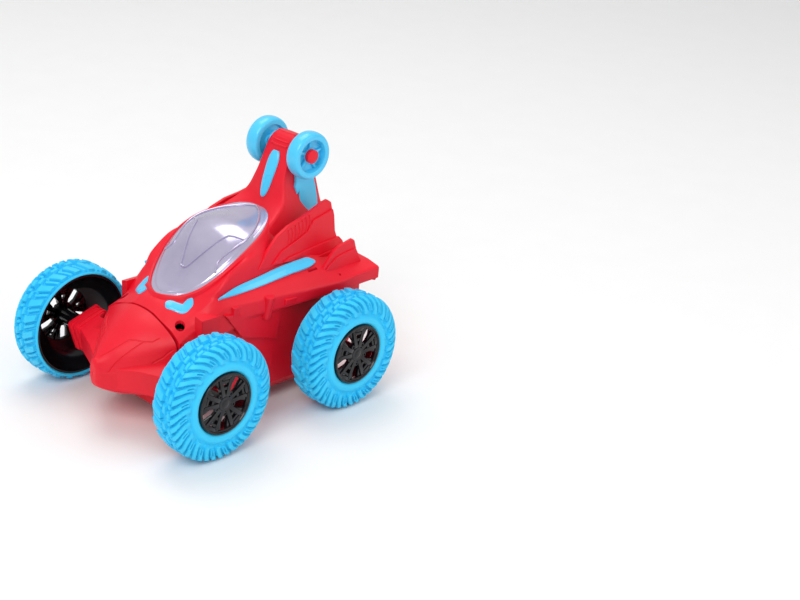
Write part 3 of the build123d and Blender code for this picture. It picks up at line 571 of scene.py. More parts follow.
@dataclass
class RoadWheel(Sided):
    """One driven or idling wheel: a knobbly ring tyre on a deep black bowl with forked spokes.

    Profiles are (place along X, radius) points.  A fork is the inner end, the outer end, the width
    and the front face's X of a bar; ends are (radial, sideways) points.  A cross is the radial
    place, half the length, the width and the front face's X of a bar between two forks.
    """

    end: str
    tread: Tread = Tread()
    axle_z: float = AXLE_HEIGHT
    radius: float = 40.0
    lug_groups: int = 22
    crown_depth: float = 2.6
    wall_depth: float = 2.0
    wall_ribs: int = 40
    steps_round: int = 660
    steps_across: int = 84
    spokes: int = 5
    first_spoke: float = 0.3
    spoke_back: float = 81.8
    bar_edge: float = 0.35
    bar_top: float = 0.86
    bolt_place: float = 7.0
    section: Profile = (
        (61.0, 35.1), (59.9, 35.8), (60.0, 37.4), (62.6, 38.9), (66.5, 39.7), (71.5, 40.0), (76.8, 40.0),
        (80.8, 39.5), (83.5, 37.6), (85.0, 33.8), (85.5, 29.4), (85.5, 25.2), (85.1, 22.2), (84.0, 20.95))
    inside: Profile = ((83.0, 20.8), (79.0, 26.05), (70.0, 33.55), (61.2, 35.0))
    bowl: Profile = (
        (61.1, 34.9), (70.0, 33.4), (79.0, 25.9), (83.2, 20.8), (84.6, 20.7), (85.4, 20.3), (85.6, 19.6),
        (85.5, 19.1), (84.9, 18.8), (84.8, 18.3), (84.2, 17.9), (82.6, 17.9), (81.2, 18.6), (78.4, 24.6),
        (69.4, 32.0), (60.9, 33.5))
    hub: Profile = ((62.0, 2.2), (62.0, 5.0), (84.0, 5.4), (85.0, 4.6), (85.0, 2.2))
    cap: Profile = ((85.0, 0.01), (85.3, 0.3), (85.3, 2.3), (85.0, 2.9), (83.5, 2.9), (83.5, 0.01))
    hub_ring: Profile = ((81.8, 5.0), (81.8, 8.2), (83.6, 8.2), (83.9, 7.6), (83.9, 5.0))
    bolt: Profile = (
        (82.6, 0.01), (82.6, 1.7), (84.5, 1.7), (84.7, 1.4), (84.7, 0.8), (84.2, 0.7), (84.2, 0.01))
    forks: tuple[tuple, ...] = (
        ((4.2, 1.1), (17.9, 4.6), 3.0, 84.9), ((8.3, 1.3), (16.8, 2.5), 1.3, 84.2),
        ((11.0, 3.4), (17.8, 8.4), 2.5, 84.0))
    crosses: tuple[Band, ...] = ((10.4, 2.4, 2.2, 84.6), (14.9, 3.6, 1.9, 84.6), (17.3, 4.3, 2.2, 84.9))

    @property
    def axle_y(self) -> float:
        """Place of the wheel's axle along the car."""
        return AXLES[self.end]

    @property
    def body(self) -> str:
        """Name of the body that the wheel turns with."""
        return f"{self.end}_{self.side_name}_wheel"

    def relief(self, turn: Array, across: Array) -> Array:
        """Height of the tread over its grooves, from 0 to 1.

        The crown carries rows of staggered blocks whose edges zigzag, and a slanted row at its inner
        side.  The outer wall carries broad ribs with thin grooves, which bend where they meet the
        crown and end in steps, long and short by turns, on a smooth ring.

        Args:
            turn: angles, shape (n, 1).
            across: places across the section, shape (1, m).

        Returns:
            Heights, shape (n, m).
        """
        tread = self.tread
        bending = np.clip((across - tread.bend_start) / tread.bend_span, 0.0, 1.0)
        ribs = turn * self.wall_ribs / (2 * pi) + tread.bend * np.sin(pi / 2 * bending) ** tread.bend_power
        wall, odd = ribs % 1.0, np.floor(ribs) % 2.0
        end = tread.rib_end - tread.rib_shortening * odd
        rib = band(tread.rib, wall) * (1 - step(end - tread.rib_fade, end, across))
        notch = band(tread.notch, wall) * step(*tread.notch_rise, across) * odd
        outer = rib * (1 - tread.notch_depth * notch) * step(*tread.rib_rise, across)
        group = turn * self.lug_groups / (2 * pi)
        zig = tread.zig * np.abs(((across * tread.zigs_across) % 1.0) - 0.5)
        middle = (group + 0.5 + zig + tread.row_shift * np.sign(tread.row_split - across)) % 1.0
        first, second = band(tread.first_row, across), band(tread.second_row, across)
        small = tread.small_height * band(tread.small_block, middle) * second
        centre = np.maximum(band(tread.block, middle) * np.maximum(first, second), small)
        slanted = (group + 0.25 + tread.slant * np.abs(across - tread.slant_middle)) % 1.0
        small = tread.small_slanted_height * band(tread.small_block, slanted)
        inner = np.maximum(band(tread.slanted_block, slanted), small) * band(tread.inner_row, across)
        return np.clip(outer + centre + inner, 0.0, 1.0)

    def tyre(self) -> bpy.types.Object:
        """Ring tyre: the section's curve, lowered where there is no lug, turned about the axle.

        Returns:
            The tyre.
        """
        corners = np.array(self.section)
        lengths = run(corners)
        across = np.linspace(0.0, 1.0, self.steps_across)
        curve = eased(lengths / lengths[-1], corners, across)
        along = np.gradient(curve, axis=0)
        along /= np.linalg.norm(along, axis=1, keepdims=True)
        normal = np.stack([-along[:, 1], along[:, 0]], axis=1)
        turn = np.arange(self.steps_round)[:, None] * 2 * pi / self.steps_round
        height = self.relief(turn, across[None, :])
        outwards = step(*self.tread.wall_start, across)
        depth = self.crown_depth + (self.wall_depth - self.crown_depth) * outwards
        sink = (1 - height) * (depth * band(self.tread.cut_rows, across))[None, :]
        lateral = curve[None, :, 0] - sink * normal[None, :, 0]
        radial = np.minimum(curve[None, :, 1] - sink * normal[None, :, 1], self.radius)
        tail = np.broadcast_to(np.array(self.inside)[None], (self.steps_round, len(self.inside), 2))
        lateral = np.concatenate([lateral, tail[:, :, 0]], axis=1)
        radial = np.concatenate([radial, tail[:, :, 1]], axis=1)
        points = np.stack([
            self.side * lateral, self.axle_y + radial * np.cos(turn), self.axle_z + radial * np.sin(turn),
        ], axis=2)
        made = Mould().grid(points, wrap_rows=True, wrap_columns=True)
        return made.piece(f"tread_{self.end}_{self.side_name}", TYRE, sharp=38.0)

    def bar(self, mould: Mould, turn: float, start: tuple[float, float], stop: tuple[float, float],
            width: float, front: float) -> None:
        """Straight raised bar on the wheel's face, between two (radial, sideways) points.

        Args:
            mould: where the bar goes.
            turn: the spoke's angle.
            start: first end.
            stop: last end.
            width: the bar's width.
            front: X of its front.
        """
        a, b = np.array(start), np.array(stop)
        along = (b - a) / np.linalg.norm(b - a)
        sideways = np.array([-along[1], along[0]]) * width / 2
        corners = np.array([a - sideways, b - sideways, b + sideways, a + sideways])
        centre = corners.mean(axis=0)
        rows = []
        for x, shrink in ((self.spoke_back, 1.0), (front - self.bar_edge, 1.0), (front, self.bar_top)):
            spot = centre + (corners - centre) * shrink
            y = self.axle_y + spot[:, 0] * cos(turn) - spot[:, 1] * sin(turn)
            z = self.axle_z + spot[:, 0] * sin(turn) + spot[:, 1] * cos(turn)
            rows.append(np.stack([np.full(4, self.side * x), y, z], axis=1))
        mould.grid(np.stack(rows), wrap_columns=True, cap=True)

    def rim(self) -> bpy.types.Object:
        """Bowl with a double lip, five forked spokes with windows, a ringed hub and its bolts.

        Returns:
            The rim.
        """
        centre = (self.axle_y, self.axle_z)
        mould = Mould()
        for profile, count in ((self.bowl, 120), (self.hub, 40), (self.cap, 30), (self.hub_ring, 50)):
            lathe(mould, profile, centre, self.side, count)
        for spoke in range(self.spokes):
            turn = spoke * 2 * pi / self.spokes + self.first_spoke
            for hand in (1, -1):
                for (near, near_side), (far, far_side), width, front in self.forks:
                    self.bar(mould, turn, (near, near_side * hand), (far, far_side * hand), width, front)
            for out, half, width, front in self.crosses:
                self.bar(mould, turn, (out, -half), (out, half), width, front)
            between = turn + pi / self.spokes
            y, z = self.bolt_place * cos(between), self.bolt_place * sin(between)
            lathe(mould, self.bolt, (self.axle_y + y, self.axle_z + z), self.side, 14)
        return mould.piece(f"spoked_rim_{self.end}_{self.side_name}", RIM)

    def build(self) -> None:
        """Make the tyre and the rim and let them turn together."""
        settle(self.tyre(), self.body, TYRE, f"tyre_{self.end}_{self.side_name}")
        settle(self.rim(), self.body, RIM, f"rim_{self.end}_{self.side_name}")


@dataclass
class TailWheel(Sided):
    """Small smooth wheel on the fin's axle, with a rounded tread and a recessed spoked face.

    Face points are (inwards from the outer side, radius), back points (outwards from the inner
    side, radius).
    """

    axle: tuple[float, float] = (61.9, 158.4)
    radius: float = 16.2
    shoulder: float = 2.6
    inner_x: float = 14.7
    outer_x: float = 24.9
    face: Profile = ((0.0, 12.2), (0.4, 11.3), (1.2, 11.0), (4.6, 10.6), (5.2, 4.4), (3.0, 4.2), (2.8, 1.5))
    back: Profile = ((0.8, 1.5), (0.8, 4.5), (2.2, 5.0), (2.2, 10.6), (0.0, 11.6))
    spokes: int = 5
    first_spoke: float = 0.25
    spoke_span: tuple[float, float] = (3.2, 11.0)
    spoke_depth: float = 4.2
    spoke_radius: float = 1.15
    cap_radius: float = 4.7
    cap_depth: float = 3.0

    def wheel(self) -> bpy.types.Object:
        """Smooth rounded tread and recessed face turned about the axle, with round spokes.

        Returns:
            The wheel.
        """
        arc = np.linspace(0.0, pi, 15)
        middle, half = (self.inner_x + self.outer_x) / 2, (self.outer_x - self.inner_x) / 2
        height = self.radius - self.shoulder + self.shoulder * np.sin(arc) ** 0.7
        crown = np.stack([middle - half * np.cos(arc), height], axis=1).tolist()
        face = [(self.outer_x - inwards, radius) for inwards, radius in self.face]
        back = [(self.inner_x + outwards, radius) for outwards, radius in self.back]
        mould = lathe(Mould(), np.array(crown + face + back), self.axle, self.side, 72)
        start = np.array([self.side * (self.outer_x - self.spoke_depth), *self.axle])
        for spoke in range(self.spokes):
            turn = spoke * 2 * pi / self.spokes + self.first_spoke
            out = np.array([0.0, cos(turn), sin(turn)])
            tube(mould, start + out * np.linspace(*self.spoke_span, 6)[:, None], self.spoke_radius, 8)
        return mould.piece(f"smooth_tail_wheel_{self.side_name}", TRIM)

    def cap(self) -> bpy.types.Object:
        """Red button with a rounded edge on the axle's end.

        Returns:
            The cap.
        """
        low, high = self.outer_x - self.cap_depth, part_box("tail_axle_caps")[1][0] / MM
        edge = ((high - 0.9, 0.0), (high - 0.3, -0.7), (high, -2.0))
        profile = [(low, 0.01), (low, self.cap_radius)]
        profile += [(x, self.cap_radius + less) for x, less in edge] + [(high, 0.01)]
        return lathe(Mould(), profile, self.axle, self.side, 48).piece(f"tail_cap_{self.side_name}", RED)

    def build(self) -> None:
        """Make the wheel and its red cap."""
        settle(self.wheel(), f"tail_{self.side_name}_wheel", TRIM, f"tail_wheel_{self.side_name}")
        settle(self.cap(), "chassis", RED, "tail_axle_caps")


# ---- body shell ----------------------------------------------------------------------
BODY = Hull(
    places=[-57.6, -49.5, -43.5, -39.5, -31.5, -26.5, -15.5, -3.5, 13.5, 26.5, 36.5,
            50.3, 66.5, 84.0, 100.4],
    halves=[
        [(0, 74.5), (10.5, 73.2), (18, 70.3), (24, 68.6), (28.5, 66.9),
         (33.5, 63.6), (36.5, 61), (36.6, 57), (36.2, 54)],
        [(0, 79.3), (11, 77.9), (16, 76.2), (22, 73.6), (28, 70.4),
         (32.5, 67.4), (35, 64.6), (36.2, 60), (36.0, 55)],
        [(0, 79.6), (10.4, 80.2), (14, 79.6), (22.5, 75.8), (29.6, 73.2),
         (33.6, 70.6), (36, 67.2), (37.0, 62), (37.0, 56)],
        [(0, 78.5), (14.6, 80.6), (17.5, 80.6), (25, 77.4), (31, 75.8),
         (34.8, 73.8), (37, 70.4), (38.2, 65), (38.2, 58)],
        [(0, 78.0), (21.0, 84.9), (24, 85.0), (30.5, 83.6), (34.6, 82.4),
         (37.6, 78.2), (39.6, 74.8), (40.2, 69), (40.0, 60)],
        [(0, 78.5), (24.0, 88.2), (27.2, 88.4), (35.2, 89.8), (35.9, 84.4),
         (38.4, 81.2), (40.6, 77.0), (41.0, 70), (41.0, 61)],
        [(0, 84.0), (28.3, 96.8), (31.2, 96.8), (36.0, 100.2), (36.4, 86.8),
         (39.6, 83.4), (43, 78.9), (43.2, 70), (42.5, 63)],
        [(0, 92.0), (29.3, 104.8), (32.3, 104.8), (36.2, 104.0), (36.4, 88.2),
         (41.0, 84.3), (45, 78.8), (45.0, 69.6), (43, 65)],
        [(0, 100.0), (26.5, 112.8), (29.6, 112.6), (34.4, 103.6), (36.3, 90.6),
         (42.4, 85.6), (47.5, 78.8), (47.3, 69.4), (43, 66)],
        [(0, 104.0), (19.6, 117.2), (23.0, 116.8), (30.4, 102.6), (36, 92.2),
         (43.4, 86.8), (49.6, 78.6), (49.4, 70), (43, 67)],
        [(0, 112.0), (9.5, 120.6), (14.5, 118.8), (26, 103), (36, 93.4),
         (44.3, 87.6), (51.4, 78.5), (51.2, 70.5), (43, 68)],
        [(0, 117.0), (8, 116.6), (14, 113), (24.5, 100), (36, 94.0),
         (45, 87.6), (52.8, 78.3), (52.5, 71), (43, 68.5)],
        [(0, 111.0), (8, 110.6), (14, 107), (24.5, 96.5), (36, 89.5),
         (45, 85.4), (54.2, 78.5), (54, 71.5), (43, 69)],
        [(0, 101.0), (7, 100.6), (12, 98), (24, 90.5), (36, 86.4),
         (45, 85.2), (55.6, 81.0), (55.4, 72.6), (43, 70)],
        [(0, 91.0), (6, 90.8), (10, 90), (24, 86.4), (36, 85.2),
         (46, 84.6), (57, 82.6), (56.8, 73.6), (43, 71)],
    ],
    softness=[0.5, 0.06, 0.12, 0.45, 0.10, 0.12, 0.10, 0.10, 0.10],
)


@dataclass
class Shell:
    """Upper shell: hood, dome seat, flanks, deck and side rails, with its small moulded details."""

    front: float = -57.6
    rear: float = 98.4
    rear_floors: tuple[float, float] = (70.6, 73.8)
    front_floors: tuple[float, float] = (54.2, 54.2)
    rail: tuple[float, float] = (43.0, 45.0)
    set_back: float = 0.2
    wall: float = 1.8
    wall_shares: Place = (0.04, 0.5, 1.0)
    wall_middle: float = 0.35
    wall_taper: float = 0.04
    rows: int = 150
    columns: int = 141
    last: float = 8.0
    screw: tuple[float, float] = (28.5, -51.2)
    screw_hole: Place = (3.2, 56.0, 80.0)
    post_foot: float = 52.0
    post_radius: float = 3.9
    post_bore: float = 2.4
    slot: tuple[Place, Place] = ((44.0, 44.0, 80.0), (44.0, 52.0, 92.0))
    slot_half: float = 0.8
    pin: tuple[float, float] = (50.0, 68.0)
    pin_hole: Place = (0.9, 76.0, 90.0)
    bead: Profile = ((0.1, -5.0), (0.1, 0.3), (0.7, 0.9), (1.6, 0.8), (2.6, -0.4), (3.4, -5.0))
    panel: Profile = ((-26.4, 74.4), (21.6, 66.6), (19.2, 46.0), (-11.6, 55.4))
    panel_faces: tuple[float, float] = (40.0, 43.7)
    rib_ends: tuple[Place, Place] = ((43.4, 8.0, 64.5), (46.6, 8.0, 80.4))
    rib_radius: float = 3.4
    bosses: tuple[tuple, ...] = (
        ((-44.5, -27.0), 40.6, (61.5, 76.5)), ((-21.0, -14.6), 43.9, (70.4, 80.0)),
        ((19.0, 36.0), 49.8, (70.6, 77.4)))

    def skin(self) -> bpy.types.Object:
        """Curved outer surface, closed by an upright wall at each end, given a thickness inwards.

        Returns:
            The shell.
        """
        y = np.linspace(self.front, self.rear, self.rows)
        t = np.linspace(-self.last, self.last, self.columns)
        points = BODY.outline(y, t)
        rear = [self.end_wall(points[-1:], share, self.rear_floors, -1.4) for share in self.wall_shares]
        front = [self.end_wall(points[:1], share, self.front_floors, 1.0) for share in self.wall_shares[::-1]]
        front = [np.maximum(row, [-np.inf, self.front + self.set_back, 0.0]) for row in front]
        mould = Mould().grid(np.concatenate(front + [points] + rear))
        shell = mould.piece("red_upper_shell", RED, sharp=40.0)
        thicken(shell, self.wall)
        return shell

    def end_wall(self, edge: Array, share: float, floors: tuple[float, float], into: float) -> Array:
        """Row of an upright end wall: an end row lowered towards the wall's foot.

        Args:
            edge: the end row of points, shape (1, n, 3).
            share: 0 at the edge, 1 at the foot.
            floors: height of the foot between the walls and under the side rails.
            into: how far the foot stands inside the end, along the car.

        Returns:
            The wall's row, shape (1, n, 3).
        """
        row = edge.copy()
        floor = np.interp(np.abs(row[..., 0]), self.rail, floors)
        row[..., 2] -= share * np.clip(row[..., 2] - floor, 0.0, None)
        row[..., 0] *= 1.0 - self.wall_taper * share
        row[..., 1] += into * (share - self.wall_middle)
        return row

    def collar(self) -> bpy.types.Object:
        """Rounded red bead round the dome, carried along its rim.

        Returns:
            The bead.
        """
        rim = Dome().rim(1.0, 160)
        centre = np.array([0.0, Dome().middle, 0.0])
        outwards = (rim - centre) * np.array([1.0, 1.0, 0.0])
        outwards /= np.linalg.norm(outwards, axis=1, keepdims=True)
        rows = [rim + outwards * out + np.array([0.0, 0.0, up]) for out, up in self.bead]
        return Mould().grid(np.stack(rows), wrap_rows=True, wrap_columns=True).piece("dome_collar", RED)

    def details(self, side_name: str) -> bpy.types.Object:
        """Blocks, a facet and a half-round post along one side of the shell.

        Args:
            side_name: left or right.

        Returns:
            The details as one piece.
        """
        side = SIDES[side_name]
        mould = Mould()
        for span, out, rise in self.bosses:
            self.boss(mould, side, span, out, rise)
        plate(mould, self.panel, *(side * x for x in self.panel_faces))
        foot, head = np.array(self.rib_ends) * np.array([side, 1.0, 1.0])
        tube(mould, foot + (head - foot) * np.linspace(0.0, 1.0, 6)[:, None], self.rib_radius, 20)
        return mould.piece(f"side_details_{side_name}", RED, bevel=0.35)

    def boss(self, mould: Mould, side: float, span: tuple[float, float], out: float,
             rise: tuple[float, float]) -> None:
        """Raised block with sloped ends on a side wall.

        Args:
            mould: where the block goes.
            side: 1 for the left, -1 for the right.
            span: its ends along the car.
            out: its outer face's distance from the middle line.
            rise: its lower and upper edge.
        """
        (y0, y1), (low, high) = span, rise
        root, crest = out - 6.0, out + 0.4
        back = np.array([[root, y0, low], [root, y1, low], [root, y1, high], [root, y0, high]])
        y0, y1, low, high = y0 + 1.0, y1 - 1.0, low + 1.2, high - 2.0
        face = np.array([[out, y0, low], [out, y1, low], [crest, y1, high], [crest, y0, high]])
        mould.grid(np.stack([back, face]) * np.array([side, 1.0, 1.0]), wrap_columns=True, cap=True)

    def post(self, side_name: str) -> bpy.types.Object:
        """Half-round post under a front screw hole.

        Args:
            side_name: left or right.

        Returns:
            The post.
        """
        side, (x, y) = SIDES[side_name], self.screw
        top = float(BODY.height(np.array([x]), np.array([y]), 6.0)[0])
        path = np.array([[side * x, y, z] for z in np.linspace(self.post_foot, top - 4.0, 5)])
        post = tube(Mould(), path, self.post_radius, 24).piece(f"screw_post_{side_name}", RED, bevel=0.3)
        carve(post, [self.cutter((side * x, y), self.post_bore, top - 9.0, top + 4.0)])
        return post

    def cutter(self, spot: tuple[float, float], radius: float, low: float, high: float) -> bpy.types.Object:
        """Upright round cutter.

        Args:
            spot: its place across and along the car.
            radius: its radius.
            low: its lower end.
            high: its upper end.

        Returns:
            The cutter.
        """
        path = np.array([[*spot, z] for z in np.linspace(low, high, 3)])
        return tube(Mould(), path, radius, 20).piece("cutter", RED)

    def build(self) -> None:
        """Make the shell and its details, and cut the screw holes and the deck's slots and pin holes."""
        shell = self.skin()
        cutters = []
        for side in SIDES.values():
            cutters.append(self.cutter((side * self.screw[0], self.screw[1]), *self.screw_hole))
            (x0, y0, z0), (x1, y1, z1) = self.slot
            low, high = (side * x0 - self.slot_half, y0, z0), (side * x1 + self.slot_half, y1, z1)
            cutters.append(box(Mould(), low, high).piece("cutter", RED))
            cutters.append(self.cutter((side * self.pin[0], self.pin[1]), *self.pin_hole))
        carve(shell, cutters)
        pieces = [shell, self.collar()]
        for side_name in SIDES:
            pieces += [self.details(side_name), self.post(side_name)]
        for made in pieces:
            settle(made, "chassis", RED, "upper_shell")


@dataclass
class Dome:
    """Silvery canopy: a shallow shell over a pointed oval rim that climbs towards the fin."""

    middle: float = -3.2
    half_length: float = 43.7
    half_width: float = 30.0
    rise: float = 9.0
    bulge_power: float = 2.2
    plan_power: float = 1.2
    wall: float = 1.2
    seat: float = 0.9
    flange: Place = (0.35, 0.30, 0.55)
    line_lift: float = 1.3
    line_radius: float = 0.7
    climb: Profile = (
        (-46.9, 80.6), (-39.5, 82.0), (-31.5, 86.2), (-23.5, 91.9), (-13.5, 99.5), (-3.5, 106.1),
        (6.5, 111.2), (16.5, 115.0), (26.5, 118.4), (36.5, 121.4), (40.5, 122.0))
    arch: Profile = (
        (0.0, -26.4), (2.4, -25.6), (5.0, -22.0), (10.4, -13.4), (15.0, -3.8), (15.9, -2.0), (17.4, -0.8),
        (24.8, 3.4))
    border: Profile = (
        (0.0, 35.6), (7.0, 32.1), (13.6, 26.3), (20.9, 16.6), (24.4, 9.3), (25.7, 2.6), (24.8, -5.6),
        (22.2, -15.6), (23.1, -17.7), (25.3, -20.2))

    def rim_height(self, y: Array) -> Array:
        """Height of the rim at places along the car."""
        keys, heights = np.array(self.climb).T
        return eased(keys, heights, y)

    def rim(self, share: float, count: int) -> Array:
        """Points of the rim's oval, scaled in plan about its middle.

        At angle a the point is half_length cos a along the car and half_width |sin a|^plan_power
        across it.

        Args:
            share: 1 for the rim itself, less for ovals inside it.
            count: points round it.

        Returns:
            Points, shape (count, 3).
        """
        turn = np.arange(count) * 2 * pi / count
        y = self.middle + share * self.half_length * np.cos(turn)
        x = share * self.half_width * np.sign(np.sin(turn)) * np.abs(np.sin(turn)) ** self.plan_power
        return np.stack([x, y, self.rim_height(y)], axis=1)

    def bulge(self, points: Array, share: Array) -> Array:
        """Lift of the dome over its rim: rise sin^p(pi s) (1 - share^p), s running along the car.

        Args:
            points: rim-level points, shape (..., 3).
            share: 0 in the middle and 1 at the rim.

        Returns:
            Lifts.
        """
        along = np.clip((points[..., 1] - self.middle + self.half_length) / (2 * self.half_length), 0.0, 1.0)
        power = self.bulge_power
        return self.rise * np.sin(pi * along) ** power * (1 - share**power)

    def surface(self, share: Array, count: int, lift: float) -> Array:
        """Ovals from the middle to the rim, lifted by the bulge.

        Args:
            share: oval sizes, shape (n,).
            count: points round each.
            lift: extra height.

        Returns:
            Points, shape (n, count, 3).
        """
        rows = np.stack([self.rim(float(s), count) for s in share])
        rows[..., 2] += self.bulge(rows, share[:, None]) + lift
        return rows

    def build(self) -> None:
        """Make the dome, its rim flange and its raised moulded lines."""
        share = np.concatenate([[0.001], np.linspace(0.06, 0.93, 26), [0.935, 0.965, 1.0]])
        rows = self.surface(share, 144, self.seat)
        rows[-3:, :, 2] -= np.array(self.flange)[:, None]
        below = rows[::-1] - np.array([0.0, 0.0, self.wall])
        mould = Mould().grid(np.concatenate([rows, below]), wrap_columns=True, cap=True)
        settle(mould.piece("canopy_shell", DOME, sharp=50.0), "chassis", DOME, "canopy_dome")
        for side_name, side in SIDES.items():
            for kind, keys in (("arch", self.arch), ("border", self.border)):
                line = self.line(f"canopy_{kind}_{side_name}", side, keys)
                settle(line, "chassis", DOME, "canopy_dome")

    def line(self, name: str, side: float, plan_keys: Profile) -> bpy.types.Object:
        """Raised line that lies on one side of the dome.

        Args:
            name: the piece's name.
            side: 1 for the left, -1 for the right.
            plan_keys: plan points (x, y) that it passes through.

        Returns:
            The line.
        """
        keys = np.array(plan_keys)
        lengths = run(keys)
        plan = eased(lengths, keys, np.linspace(0.0, lengths[-1], 70))
        x, y = side * plan[:, 0], plan[:, 1]
        along = np.clip((y - self.middle) / self.half_length, -1.0, 1.0)
        shares = np.linspace(0.0, 1.0, 401)[:, None]
        inner = np.clip(1 - (along[None] / np.maximum(shares, 1e-3)) ** 2, 0.0, 1.0)
        reached = self.half_width * shares * inner ** (self.plan_power / 2) >= np.abs(x)[None]
        share = shares[np.where(reached.any(axis=0), np.argmax(reached, axis=0), -1), 0]
        path = np.stack([x, y, self.rim_height(y)], axis=1)
        path[:, 2] += self.bulge(path, share) + self.line_lift
        return tube(Mould(), path, self.line_radius, 8).piece(name, DOME)


# ---- fin and wings -------------------------------------------------------------------
@dataclass
class Fin:
    """Tall spine behind the dome that carries the tail axle.

    Each row runs round the fin from the front middle over the front edge, the side and the rear
    edge to the rear middle, as (x, y, z) points of its left half.
    """

    rows: list[list[tuple[float, float, float]]] = field(default_factory=lambda: [
        [(0, 60.0, 169.5), (7.6, 60.4, 169.3), (8.4, 63.0, 169.2), (7.4, 67.0, 168.0), (0, 67.5, 168.0)],
        [(0, 56.5, 166.6), (9.8, 56.9, 166.3), (10.0, 62.5, 166.0), (8.6, 70.5, 164.5), (0, 71.0, 164.5)],
        [(0, 53.6, 161.5), (11.4, 54.1, 161.2), (10.8, 62.0, 160.0), (9.2, 73.5, 158.0), (0, 74.3, 158.0)],
        [(0, 50.0, 152.6), (12.4, 50.6, 152.2), (11.4, 61.5, 150.0), (9.4, 77.0, 147.0), (0, 78.0, 147.0)],
        [(0, 45.2, 140.4), (14.6, 46.0, 139.6), (11.4, 60.5, 138.0), (9.0, 82.0, 135.7), (0, 83.4, 135.7)],
        [(0, 41.0, 128.0), (19.6, 41.2, 127.4), (14.6, 60.0, 124.5), (9.6, 87.0, 119.0), (0, 88.6, 119.0)],
        [(0, 40.2, 119.0), (25.0, 23.0, 117.2), (20.5, 50.0, 110.0), (12.0, 91.5, 106.0), (0, 93.5, 106.0)],
        [(0, 40.0, 108.0), (28.2, 10.0, 110.5), (26.0, 42.0, 97.0), (15.0, 96.0, 94.0), (0, 98.0, 94.0)],
    ])
    softness: tuple[float, ...] = (0.5, 0.13, 0.45, 0.2, 0.4)
    ribs: int = 5
    rib_foot: tuple[float, float] = (53.6, 161.6)
    rib_climb: tuple[float, float] = (6.6, 7.2)
    rib_half: float = 7.6
    rib_radius: float = 0.62
    inlay_foot: float = 126.6
    inlay_height: float = 31.4
    inlay_half: float = 4.9
    inlay_middle: float = 1.06
    inlay_power: float = 3.2
    inlay_widening: tuple[float, float] = (0.72, 0.42)
    inlay_swell: float = 1.3
    inlay_out: Place = (0.0, -0.935, 0.354)
    inlay_back: Place = (0.0, 2.2, -0.8)

    def outline(self, heights: int, around: int) -> Array:
        """Surface through the rows: smooth up the fin, with rounded corners round it.

        Args:
            heights: number of rows made.
            around: number of points round each row.

        Returns:
            Points, shape (heights, around, 3).
        """
        keys = np.arange(len(self.rows))
        corners = eased(keys, np.array(self.rows, float), np.linspace(0, len(self.rows) - 1, heights))
        last = corners.shape[1] - 1
        mirrored = corners[:, ::-1][:, 1:-1] * np.array([-1.0, 1.0, 1.0])
        loop = np.concatenate([corners, mirrored, corners[:, :1]], axis=1)
        soft = np.array(list(self.softness) + list(self.softness[-2:0:-1]) + [self.softness[0]])
        t = np.arange(around) * (2 * last) / around
        reach = np.interp(t, np.arange(2 * last + 1), soft)
        where = (t[:, None] + reach[:, None] * WINDOW[None]) % (2 * last)
        low = np.floor(where).astype(int)
        part = (where - low)[None, :, :, None]
        return (loop[:, low] * (1 - part) + loop[:, low + 1] * part).mean(axis=2)

    def build(self) -> None:
        """Make the spine, its cross ribs and the blue inlay on its front."""
        spine = Mould().grid(self.outline(90, 120), wrap_columns=True, cap=True)
        settle(spine.piece("tail_fin", RED, sharp=42.0), "chassis", RED, "upper_shell")
        ribs = Mould()
        for number in range(self.ribs):
            part = number / (self.ribs - 1)
            y = self.rib_foot[0] + self.rib_climb[0] * part
            z = self.rib_foot[1] + self.rib_climb[1] * part**0.75
            x = np.linspace(-self.rib_half, self.rib_half, 12)
            path = np.stack([x, y - 0.25 + 0.01 * x**2, np.full(12, z)], axis=1)
            tube(ribs, path, self.rib_radius, 8)
        settle(ribs.piece("fin_ribs", RED), "chassis", RED, "upper_shell")
        self.inlay()

    def inlay(self) -> None:
        """Blue rounded inlay that leans with the fin's front: widest near its top."""
        s = np.linspace(0.0, 1.0, 40)
        end = np.sqrt(np.clip(1 - np.abs(2 * s - self.inlay_middle) ** self.inlay_power, 0.0, 1.0))
        base, widening = self.inlay_widening
        half = self.inlay_half * end * (base + widening * s)
        z = self.inlay_foot + self.inlay_height * s
        front = np.array([row[0] for row in self.rows[::-1]])
        spine = np.stack([np.zeros(40), np.interp(z, front[:, 2], front[:, 1]) - 0.5, z], axis=1)
        across = np.linspace(-1.0, 1.0, 13)
        top = spine[:, None, :] + half[:, None, None] * across[None, :, None] * np.array([1.0, 0.0, 0.0])
        round_top = self.inlay_swell * np.sqrt(np.clip(1 - across**2, 0.0, 1.0))
        swell = round_top * np.sqrt(np.clip(half / 4.0, 0, 1))[:, None]
        top = top + (swell[..., None] - 0.2) * np.array(self.inlay_out)
        back = top[:, ::-1] + np.array(self.inlay_back)
        loop = Mould().grid(np.concatenate([top, back], axis=1), wrap_columns=True, cap=True)
        settle(loop.piece("fin_blue_inlay", TRIM), "chassis", TRIM, "fin_inlay")


